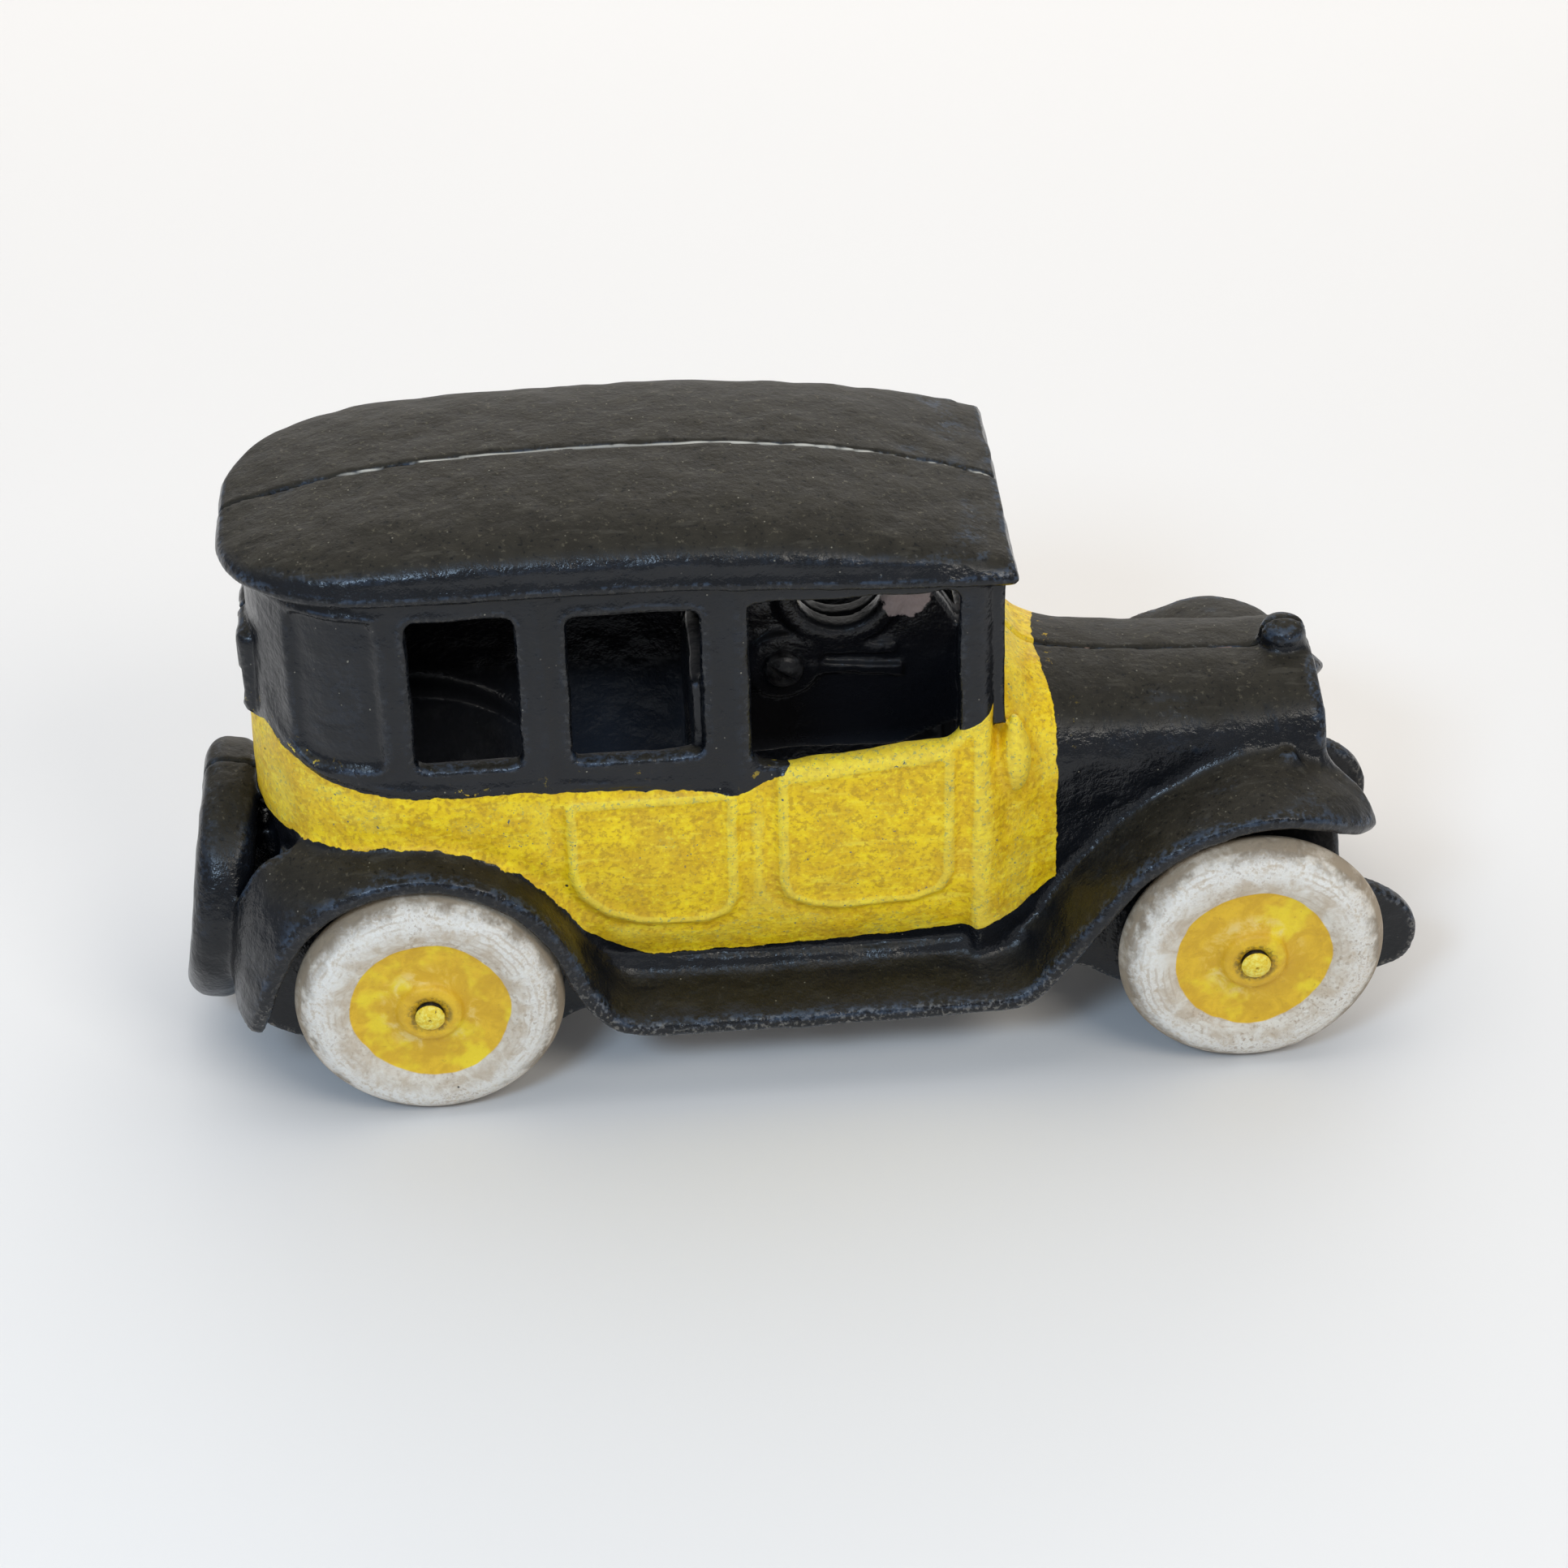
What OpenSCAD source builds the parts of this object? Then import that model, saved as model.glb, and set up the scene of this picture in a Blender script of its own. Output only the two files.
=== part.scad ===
// Cast-iron toy taxi: two body halves joined by one screw, two axles and four disc wheels.
// +X is the front, +Y the car's left side, +Z up. The wheels stand on Z = 0.

/* [Running gear] */
// Outer radius of each wheel
wheel_r = 22; // [21:0.1:22.2]
// Width of a wheel across its tyre
wheel_w = 8.5; // [7:0.5:8.5]
// Radius of the painted disc inside the tyre
disc_r = 13.1; // [11:0.1:14]
// Radius of the steel axles
axle_r = 2; // [1.5:0.1:2.5]
// Radial clearance of an axle in the frame and in the wheels
axle_clearance = 0.08; // [0.02:0.01:0.1]
// Position of the front axle along the car
front_axle_x = 74; // [73:0.5:76]
// Position of the rear axle along the car
rear_axle_x = -61.6; // [-62:0.1:-61]
// Distance from the centre plane to a wheel's outer face
wheel_face_y = 36.2; // [35:0.1:36.5]

/* [Casting] */
// Wall thickness of the body casting
wall = 3; // [2.4:0.1:3.4]
// Thickness of the fenders and running boards
fender_t = 2.8; // [2:0.1:3]
// Distance from the centre plane to the running boards' outer edge
fender_y = 34.6; // [34:0.1:35.6]
// Half width of the cab at the belt line
cab_half_w = 27.5; // [27:0.1:28]
// Half width of the roof at its drip edge
roof_half_w = 28.5; // [28.3:0.1:29.5]
// Highest point of the roof
roof_z = 105.8; // [105:0.1:107]
// Distance from the centre plane to the frame's side plates
plate_y = 20.3; // [20:0.1:20.6]
// Height of the raised lines on doors, posts and panels
bead_h = 0.7; // [0.4:0.1:0.9]

/* [Spare wheel] */
// Outer radius of the spare wheel cast on the back
spare_r = 22; // [21:0.1:22.5]
// Thickness of the spare wheel
spare_w = 9.5; // [8:0.5:10]
// Angle by which the spare wheel leans towards the car
spare_lean = 9.5; // [7:0.1:10]

/* [Screw] */
// Radius of the screw's head
screw_head_r = 3.3; // [3:0.1:3.6]
// Radius of the screw's shank
screw_r = 1.75; // [1.5:0.05:1.9]

/* [Hidden] */

// Cab: half width and rear wall by height
cab_corner_x = -62;
cab_front_x = 31.5;
cab_levels = [18, 22, 27, 33, 40, 48, 57, 66, 80, 95.8];
cab_taper = [[18, -6.9], [22, -4.8], [27, -2.9], [33, -1.4], [40, -0.4], [48, 0], [57, 0], [66, -0.4], [95, -1.7]];
cab_rear = [[18, -72], [27, -79], [38, -86], [48, -88.4], [60, -88.3], [75, -87.2], [95, -86.6]];
corner_steps = 14;
below = 2;                      // how far solids cross the centre plane before they are cut

// Roof
roof_rear_x = -89.6;
roof_front_x = 35;
roof_corner_x = -60;
roof_peak_x = -32;
roof_drip_z = 95.1;
roof_power = 3.2;               // squareness of the roof's cross-section
rim_h = 1.6;                    // height of the drip edge

// Hood and cowl: half width and ridge by station
hood_stations = [29.7, 32.5, 35.5, 38.3, 42.5, 49, 58, 68, 78, 86.6];
hood_half = [[29.7, 25.6], [32.5, 25], [35.5, 23.8], [38.3, 22], [42.5, 20.3], [49, 19.2], [66, 18.2], [86.6, 17]];
hood_top = [[29.7, 69.3], [35.5, 68.9], [38.3, 65], [42.5, 63.4], [50, 62.2], [66, 61.2], [86.6, 60.3]];
hood_power = 2.7;
hood_spring_z = 47;
hood_floor_z = 19;

// Windows: rear x, front x, sill z, head z
window_sets = [[-60.5, -43.7, 63.7, 90.3], [-35.5, -14.7, 63.7, 89.8]];
window_corner = 1.6;

// Screw lug inside the cab
lug_x = -0.6;
lug_z = 64.4;
web_t = 2.8;
lug_t = 4.2;
screw_bite = 0.02;
screw_clearance = 0.15;

arch_x = rear_axle_x - 0.6;     // centre of the rear fender's arch
arch_z = 22;
arch_r = wheel_r + 1.2 + fender_t / 2;

function arc(cx, cy, r, a0, a1, n) = [for (i = [0:n]) let (a = a0 + (a1 - a0) * i / n) [cx + r * cos(a), cy + r * sin(a)]];
function corner_cut(p) = [p[0], for (i = [0:len(p) - 2]) each [p[i] * 0.75 + p[i + 1] * 0.25, p[i] * 0.25 + p[i + 1] * 0.75], p[len(p) - 1]];

// Quarter of a rounded-off rectangle, from the side (w, 0) up to the top (0, h)
function crown(w, h, power, steps) = [for (i = [0:steps]) let (t = 90 * i / steps)
    [w * pow(cos(t), 2 / power), h * pow(sin(t), 2 / power)]];

// Closed skin through rings of equal length, each running anticlockwise seen from the last ring's end
module loft(rings) {
    n = len(rings[0]);
    m = len(rings);
    skin = [for (j = [0:m - 2]) for (i = [0:n - 1]) let (a = j * n + i, b = j * n + (i + 1) % n)
        each [[a, b + n, b], [a, a + n, b + n]]];
    polyhedron([for (r = rings) each r],
        concat([[for (i = [0:n - 1]) i]], skin, [[for (i = [n - 1:-1:0]) (m - 1) * n + i]]), convexity = 8);
}

// Outline of half the cab in plan at height z, grown outwards by g
function cab_ring(z, g, y_low) = let (
        w = cab_half_w + lookup(z, cab_taper) + g,
        xr = lookup(z, cab_rear) - g,
        front = cab_front_x + min(g, 0))
    concat(
        [[front, y_low, z], [front, w - 1.5, z], [front - 1.5, w, z]],
        [for (p = crown(w, cab_corner_x - xr, 2.15, corner_steps)) [cab_corner_x - p[1], p[0], z]],
        [[xr, y_low, z]]);

module cab_outer(g = 0) {
    loft([for (z = cab_levels) cab_ring(z, g, -below)]);
}

module cab_inner() {
    loft([for (z = [12, 22, 30, 40, 50, 62, 96]) cab_ring(z, -wall, -2 * below)]);
}

// Roof: ridge height, drip edge height and half width by station
function ridge_z(x) = roof_z
    - (x > roof_peak_x ? 9.8 * pow((x - roof_peak_x) / 67, 2.6) : 6.2 * pow((roof_peak_x - x) / 57, 2.1));
function drip_z(x) = roof_drip_z - (x > -25 ? 3.5 * pow((x + 25) / 60, 1.3) : 0);
function roof_w(x) = x < roof_corner_x
    ? roof_half_w * pow(1 - pow((roof_corner_x - x) / (roof_corner_x - roof_rear_x), 2.6), 1 / 2.6)
    : x > 5 ? roof_half_w - 1.6 * pow((x - 5) / 30, 2) : roof_half_w;

function roof_ring(x, w, z0, h, y_low) = concat(
    [[x, y_low, z0], [x, w, z0]],
    [for (p = crown(w, h - rim_h, roof_power, 11)) [x, p[0], z0 + rim_h + p[1]]],
    [[x, y_low, z0 + h]]);

module roof_outer() {
    loft([for (x = concat(
            [for (i = [0:9]) roof_rear_x + 0.2 + (roof_corner_x - roof_rear_x) * pow(i / 10, 1.8)],
            [for (x = [-60:8:28]) x], [33.6, roof_front_x]))
        let (f = min(1, roof_w(x) / roof_half_w), lip = x > 34 ? 0.7 : 0)
        roof_ring(x, roof_w(x) - lip, drip_z(x) + lip / 2,
            rim_h + (ridge_z(x) - drip_z(x) - rim_h) * pow(f, 0.42) - lip, -below)]);
}

// Half width of the cab's inside at its top
function inside_w(x) = let (w = cab_half_w - wall - 1.8, reach = cab_corner_x - lookup(95, cab_rear) - wall)
    x < cab_corner_x ? w * pow(max(0.001, 1 - pow((cab_corner_x - x) / reach, 2.15)), 1 / 2.15) : w;

module roof_inner() {
    loft([for (x = [-84, -82, -79, -75, -69, -60, -46, -32, -20, -8, 4, 14, 24, roof_front_x - wall - 0.6])
        let (w = inside_w(x))
        roof_ring(x, w, 86, ridge_z(x) - wall - 86 - (x < -78 ? (-78 - x) * 0.4 : 0), -2 * below)]);
}

function hood_ring(x, g, y_low, z_low) = let (
        w = lookup(x, hood_half) + g,
        top = lookup(x, hood_top) + g)
    concat(
        [[x, y_low, z_low], [x, w - 1, z_low], [x, w, 27]],
        [for (p = crown(w, top - hood_spring_z, hood_power, 11)) [x, p[0], hood_spring_z + p[1]]],
        [[x, y_low, top]]);

module hood_outer() {
    loft([for (x = hood_stations) hood_ring(x, 0, -below, hood_floor_z)]);
}

module hood_inner() {
    loft([for (x = [29.6, 33, 36, 39.5, 43, 50, 60, 72, 83.4]) hood_ring(x, -wall, -2 * below, 12)]);
}

// Radiator shell, a little proud of the hood, with its face leaning forward at the bottom
module radiator() {
    loft([for (s = [[79.6, -0.2], [80.1, 0.5], [86.9, 0.6], [87.6, 0]])
        let (w = 17 + s[1], top = 60.5 + s[1])
        [for (p = concat([[-below, 24], [w - 1, 24]],
                [for (q = crown(w, top - 46, hood_power, 11)) [q[0], 46 + q[1]]], [[-below, top]]))
            [s[0] + (61 - p[1]) * 0.05, p[0], p[1]]]]);
}

module radiator_cap() {
    translate([83, 0, 57]) rotate_extrude($fn = 48)
        polygon([[0, 0], [3.8, 0], [3.8, 6.6], [3.4, 7.8], [2.2, 8.6], [0, 8.9]]);
}

// Fender and running board guide lines, each station holding
// [outer x, outer y, outer z, inner x, inner y, inner z] on the middle of the sheet
function arch_station(a, inner) = concat(
    [arch_x + arch_r * cos(a), fender_y, arch_z + arch_r * sin(a)], inner);
fender_stations = [
    [-90.2, 31.8, 17.4, -92.6, 21.8, 18.8],
    [-88, 34.2, 23.6, -92.8, 21.8, 26],
    arch_station(153, [-90.8, 21.8, 36.4]),
    arch_station(135, [-85, 21.8, 44]),
    arch_station(113, [-75, 21.8, 46.4]),
    arch_station(90, [-63.5, 21.8, 46.6]),
    arch_station(68, [-54, 21.8, 43.8]),
    arch_station(46, [-46.5, 21.8, 38.6]),
    arch_station(25, [-40.6, 21.8, 31.6]),
    [-36.3, fender_y, 22.4, -36.3, 21.8, 23],
    [-31, fender_y, 14.4, -31.5, 21.8, 16.2],
    [-22, fender_y, 13.9, -22, 21.8, 15.9],
    [28, fender_y, 14.5, 28, 21.8, 16.3],
    [37, fender_y, 15, 37, 21.8, 17.2],
    [42.5, fender_y, 22.4, 42, 17, 23],
    [49.4, fender_y, 31.8, 49, 15, 32],
    [56, fender_y, 40, 58, 15, 39.6],
    [64.4, fender_y, 45.6, 66, 15, 44.8],
    [74.8, fender_y, 48.6, 76, 15, 48.0],
    [82.4, 34.2, 47.6, 84.6, 15.6, 46.8],
    [89.5, 30.2, 42.8, 89.2, 16.6, 44.6],
    [94.8, 24.6, 39.2, 91.6, 17.4, 42.6]];
fender_line = corner_cut(fender_stations);

// Across the sheet: share of the way out, height of the crown, half thickness
fender_across = [[0, 0.3, 1], [0.3, 0.8, 1], [0.8, 0.8, 1], [1, 0, 0.6]];

function fender_ring(i) = let (
        p = fender_line[i],
        q = fender_line[min(i + 1, len(fender_line) - 1)],
        r = fender_line[max(i - 1, 0)],
        d = [q[0] - r[0], q[2] - r[2]],
        n = [-d[1], 0, d[0]] / norm(d),
        outer = [p[0], p[1], p[2]],
        inner = [p[3], p[4], p[5]])
    concat(
        [for (s = fender_across) inner + (outer - inner) * s[0] + n * (s[1] - s[2] * fender_t / 2)],
        [for (k = [len(fender_across) - 1:-1:0]) let (s = fender_across[k])
            inner + (outer - inner) * s[0] + n * (s[1] + s[2] * fender_t / 2)]);

module fender_strip() {
    loft([for (i = [0:len(fender_line) - 1]) fender_ring(i)]);
}

// Frame side plate with a deep lobe at each axle and a horn at the front
plate_outline = corner_cut(corner_cut([
    [-92, 21], [-91, 12], [-83, 8], [-61.6, 5.2], [-42, 8], [-35, 12], [-28, 14.6], [38, 14.8], [47, 14],
    [55, 8.6], [74, 5.2], [92, 7.4], [102.5, 9.6], [104.2, 17.6], [101, 23.4], [91, 28.6], [86, 34], [60, 34], [48, 26],
    [36, 20], [-33, 20], [-45, 28], [-78, 28], [-88, 26]]));

module upright(t) {
    translate([0, plate_y + t, 0]) rotate([90, 0, 0]) linear_extrude(t) children();
}

// Frame plate and the walls of the wheel wells above it, up to the fenders
module side_plate() {
    upright(wall) {
        polygon(plate_outline);
        polygon(concat([[-31, 17]], arc(arch_x, arch_z, arch_r, 10, 146, 10), [[-86, 22], [-80, 17]]));
        polygon([[86, 22], [90, 32], [88.4, 43.6], [77, 47], [66, 45], [58, 40], [49, 31.6], [40, 19.5], [38, 16]]);
    }
}

module spare_wheel() {
    translate([-95.9, 0, 28.4]) rotate([0, 90 + spare_lean, 0]) rotate_extrude($fn = 96)
        polygon(concat(
            [[0, -spare_w / 2 + 1.6], [13, -spare_w / 2 + 1.6], [14.2, -spare_w / 2 + 0.4]],
            arc(spare_r - 3.6, -spare_w / 2 + 3.6, 3.6, -90, 0, 6),
            arc(spare_r - 3.6, spare_w / 2 - 3.6, 3.6, 0, 90, 6),
            [[14.2, spare_w / 2 - 0.4], [13, spare_w / 2 - 1.6], [0, spare_w / 2 - 1.6]]));
    translate([-93.6, -1, 24]) cube([13.6, 8, 16]);
}

// Inside the cab: seat-back rib, centre web with a screw lug and two ridges, and bulkhead
module inner_web() {
    translate([0, web_t, 0]) rotate([90, 0, 0]) linear_extrude(web_t + 1) difference() {
        polygon(corner_cut([[-17, 47], [-17, 80], [-6, 83], [0, 83], [20, 83], [25, 76], [31, 66], [31, 47]]));
        translate([9, 78.6]) circle(r = 7.8, $fn = 48);
        translate([2.4, 79]) square([13.2, 6]);
    }
    translate([lug_x, lug_t, lug_z]) rotate([90, 0, 0]) cylinder(r = 6.2, h = lug_t + 1, $fn = 48);
    translate([4, 0.5, 62.9]) rotate([0, 6, 0]) cube([15, 3.6, 1.8]);
    translate([4, 0.5, 66.4]) rotate([0, 2, 0]) cube([14, 3.4, 1.7]);
    translate([-16.3, -1, 26]) cube([wall, 26, 50]);
    translate([28.8, -1, 22]) cube([wall, 24, 43]);
}

// Wall that closes the tail below the cab, between the frame plates
module rear_apron() {
    translate([0, plate_y + wall / 2, 0]) rotate([90, 0, 0]) linear_extrude(plate_y + below)
        polygon([[-91, 13], [-88, 12], [-81.6, 38], [-84.6, 42]]);
}

module rounded_outline(x0, x1, z0, z1, r) {
    polygon(concat(
        arc(x0 + r, z0 + r, r, 180, 270, 5), arc(x1 - r, z0 + r, r, 270, 360, 5),
        arc(x1 - r, z1 - r, r, 0, 90, 5), arc(x0 + r, z1 - r, r, 90, 180, 5)));
}

module side_cut(depth = 30) {
    translate([0, 15 + depth, 0]) rotate([90, 0, 0]) linear_extrude(depth) children();
}

module windows() {
    side_cut() {
        for (w = window_sets) rounded_outline(w[0], w[1], w[2], w[3], window_corner);
        polygon(corner_cut([[-7.1, 86], [-7.1, 64], [-6, 61.4], [-1, 60.4], [21, 62.2], [25.4, 63.6],
            [26.4, 66], [25.9, 86], [25.2, 90], [-6.4, 90.6]]));
    }
    // windscreen
    translate([cab_front_x - 6, -2 * below, 70.5]) cube([12, 22 + 2 * below, 19.5]);
    // rear window
    translate([-96, -2 * below, 66]) cube([16, 8.5 + 2 * below, 13]);
}

module frame_outline(x0, x1, z0, z1, r, line = 1.3) {
    difference() {
        rounded_outline(x0, x1, z0, z1, r);
        rounded_outline(x0 + line, x1 - line, z0 + line, z1 - line, r - 1);
    }
}

// Raised lines that follow the side of the cab
module beads() {
    intersection() {
        cab_outer(bead_h);
        side_cut() {
            frame_outline(-37.8, -10, 29.4, 57, 6);
            frame_outline(-3.4, 25.6, 30.8, 59.6, 6);
            frame_outline(-79.6, -65.4, 63.4, 91, 3);
            translate([-40.8, 57]) square([1.6, 37]);
            translate([-9.8, 50]) square([1.6, 43]);
            translate([26.6, 34]) square([1.3, 32]);
        }
    }
}

module cowl_lamp() {
    translate([35.2, 23.2, 57.6]) resize([5.4, 5, 14.6]) sphere(r = 3, $fn = 24);
}

module windscreen_frame() {
    translate([cab_front_x - 1, 21.4, 64]) cube([3.1, 3, 28.6]);
    translate([cab_front_x - 1, -1, 89.5]) cube([2.4, 25, 4]);
}

// Rim around the rear window
module rear_rim() {
    translate([-88.1, -1, 65]) difference() {
        cube([3.6, 10.4, 15]);
        translate([-1, -1, 1]) cube([6, 9.5, 13]);
    }
}

module shell() {
    difference() {
        union() {
            cab_outer();
            roof_outer();
            hood_outer();
            radiator();
            beads();
            rear_rim();
        }
        cab_inner();
        roof_inner();
        hood_inner();
        windows();
        translate([arch_x, 60, arch_z]) rotate([90, 0, 0])
            cylinder(r = arch_r, h = 60 - plate_y - wall, $fn = 96);
    }
}

// Everything cast in one half, on the +Y side
module casting() {
    difference() {
        intersection() {
            union() {
                shell();
                inner_web();
                cowl_lamp();
                windscreen_frame();
                radiator_cap();
                fender_strip();
                side_plate();
                rear_apron();
                spare_wheel();
            }
            translate([-150, 0, -10]) cube([300, 60, 130]);
        }
        for (x = [front_axle_x, rear_axle_x])
            translate([x, 50, wheel_r]) rotate([90, 0, 0]) cylinder(r = axle_r + axle_clearance, h = 51, $fn = 64);
    }
}

module right_body_half() {
    color("#1d1f24") difference() {
        mirror([0, 1, 0]) casting();
        translate([lug_x, 1, lug_z]) rotate([90, 0, 0]) cylinder(r = screw_r + screw_clearance, h = 8, $fn = 48);
    }
}

module left_body_half() {
    color("#e0b012") difference() {
        casting();
        translate([lug_x, 8, lug_z]) rotate([90, 0, 0]) cylinder(r = screw_r - screw_bite, h = 9, $fn = 48);
    }
}

// Round-head slotted screw; its head rests on the right half's lug
module body_screw() {
    color("#4a4a4e") translate([lug_x, -lug_t, lug_z]) rotate([-90, 0, 0]) difference() {
        rotate_extrude($fn = 48) polygon(concat(
            [[0, -2.4]],
            [for (i = [1:6]) let (a = 90 * i / 6) [screw_head_r * sin(a), -0.4 - 2 * cos(a)]],
            [[screw_head_r, 0], [screw_r, 0], [screw_r, 8.6], [screw_r - 0.5, 9.2], [0, 9.2]]));
        rotate([0, 0, 35]) translate([-5, -0.4, -3]) cube([10, 0.8, 1.9]);
    }
}

// Plain steel rod with a peened head at each end
module axle(x) {
    head_y = wheel_face_y + 0.7;
    color("#9a9aa0") translate([x, 0, wheel_r]) rotate([90, 0, 0]) rotate_extrude($fn = 64) polygon([
        [0, -head_y - 1.3], [1.7, -head_y - 1.2], [2.5, -head_y - 0.6], [2.6, -head_y], [axle_r, -head_y],
        [axle_r, head_y], [2.6, head_y], [2.5, head_y + 0.6], [1.7, head_y + 1.2], [0, head_y + 1.3]]);
}

module front_axle() { axle(front_axle_x); }
module rear_axle() { axle(rear_axle_x); }

// Disc wheel cast in one piece with its tyre; side is 1 for the left and -1 for the right
module wheel(x, side) {
    bore_r = axle_r + axle_clearance;
    inner_hub = wheel_face_y - plate_y - wall - 0.3;
    color("#ece7da") translate([x, side * wheel_face_y, wheel_r]) rotate([side * 90, 0, 0])
        rotate_extrude($fn = 96) polygon(concat(
            [[bore_r, -0.4], [3.3, -0.4], [4.4, 0.1], [5, 1.3], [9, 1.5], [disc_r, 1], [disc_r + 1, 0.2]],
            arc(wheel_r - 3.6, 3.2, 3.2, -90, -20, 4),
            arc(wheel_r - 4.6, wheel_w / 2, 4.6, -14, 14, 4),
            arc(wheel_r - 3.6, wheel_w - 3.2, 3.2, 20, 90, 4),
            [[disc_r, wheel_w - 2], [6, wheel_w - 2], [5, inner_hub], [bore_r, inner_hub]]));
}

module front_right_wheel() { wheel(front_axle_x, -1); }
module front_left_wheel() { wheel(front_axle_x, 1); }
module rear_right_wheel() { wheel(rear_axle_x, -1); }
module rear_left_wheel() { wheel(rear_axle_x, 1); }

right_body_half();
left_body_half();
body_screw();
front_axle();
rear_axle();
front_right_wheel();
front_left_wheel();
rear_right_wheel();
rear_left_wheel();
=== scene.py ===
import math
import bmesh
import bpy
import numpy as np
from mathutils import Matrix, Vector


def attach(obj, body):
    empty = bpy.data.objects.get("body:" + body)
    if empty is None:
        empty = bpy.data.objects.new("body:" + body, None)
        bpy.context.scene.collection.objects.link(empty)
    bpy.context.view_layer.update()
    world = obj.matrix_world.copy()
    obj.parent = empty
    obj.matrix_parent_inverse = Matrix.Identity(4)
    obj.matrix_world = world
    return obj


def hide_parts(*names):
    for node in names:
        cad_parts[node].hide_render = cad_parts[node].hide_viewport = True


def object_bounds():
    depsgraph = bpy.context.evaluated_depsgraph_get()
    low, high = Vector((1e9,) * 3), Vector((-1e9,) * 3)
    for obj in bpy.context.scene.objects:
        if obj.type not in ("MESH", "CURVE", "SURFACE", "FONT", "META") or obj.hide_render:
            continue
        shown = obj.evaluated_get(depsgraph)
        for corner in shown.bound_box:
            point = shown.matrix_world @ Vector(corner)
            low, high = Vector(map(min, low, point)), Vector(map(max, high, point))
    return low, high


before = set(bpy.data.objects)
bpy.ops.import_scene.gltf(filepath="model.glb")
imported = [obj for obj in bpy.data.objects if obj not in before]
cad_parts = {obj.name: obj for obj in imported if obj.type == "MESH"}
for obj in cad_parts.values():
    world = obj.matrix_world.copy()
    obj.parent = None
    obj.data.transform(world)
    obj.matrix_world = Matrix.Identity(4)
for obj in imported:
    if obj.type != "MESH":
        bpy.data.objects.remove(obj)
import openvdb as vdb
from mathutils import Matrix

cad_lo, cad_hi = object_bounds()

# ---------------------------------------------------------------- camera, light, floor
scene = bpy.context.scene
scene.view_settings.view_transform = "Standard"
scene.view_settings.look = "None"
scene.view_settings.exposure = 0.0

cam_data = bpy.data.cameras.new("photo_camera")
cam_data.sensor_width = 36
cam_data.lens = 87.58
cam_data.clip_start = 0.01
cam = bpy.data.objects.new("photo_camera", cam_data)
scene.collection.objects.link(cam)
right = (0.9971, -0.0715, -0.0246)
up = (0.0607, 0.5639, 0.8236)
back = (-0.0450, -0.8227, 0.5667)
place = Matrix.Identity(4)
for i in range(3):
    place[i][0], place[i][1], place[i][2] = right[i], up[i], back[i]
    place[i][3] = (-0.0298, -0.5305, 0.4037)[i]
cam.matrix_world = place
scene.camera = cam


def area_light(name, where, aim, size, power, color):
    data = bpy.data.lights.new(name, "AREA")
    data.shape = "RECTANGLE"
    data.size, data.size_y = size
    data.energy = power
    data.color = color
    obj = bpy.data.objects.new(name, data)
    scene.collection.objects.link(obj)
    obj.location = where
    d = np.array(where) - np.array(aim)
    d = d / np.linalg.norm(d)
    x = np.cross((0.0, 0.0, 1.0) if abs(d[2]) < 0.99 else (0.0, 1.0, 0.0), d)
    x /= np.linalg.norm(x)
    y = np.cross(d, x)
    m = Matrix.Identity(4)
    for k in range(3):
        m[k][0], m[k][1], m[k][2], m[k][3] = x[k], y[k], d[k], where[k]
    obj.matrix_world = m
    return obj


area_light("sky_panel", (-0.10, 0.50, 1.05), (0, 0, 0.03), (2.4, 1.9), 14.0, (1.0, 0.945, 0.875))
area_light("back_panel", (0.15, 1.25, 0.42), (0, 0, 0.08), (1.6, 0.5), 6.5, (1.0, 0.97, 0.92))
area_light("window_panel", (-0.30, -0.60, 0.62), (0, 0, 0.05), (0.20, 0.15), 2.7, (0.56, 0.76, 1.0))
area_light("front_panel", (0.50, -0.70, 0.85), (0, 0, 0.05), (0.5, 0.35), 3.9, (1.0, 0.95, 0.86))

world = bpy.data.worlds.new("soft_room")
scene.world = world
world.use_nodes = True
world.node_tree.nodes["Background"].inputs[0].default_value = (0.87, 0.92, 1.0, 1)
world.node_tree.nodes["Background"].inputs[1].default_value = 0.385

# ---------------------------------------------------------------- node helpers


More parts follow.
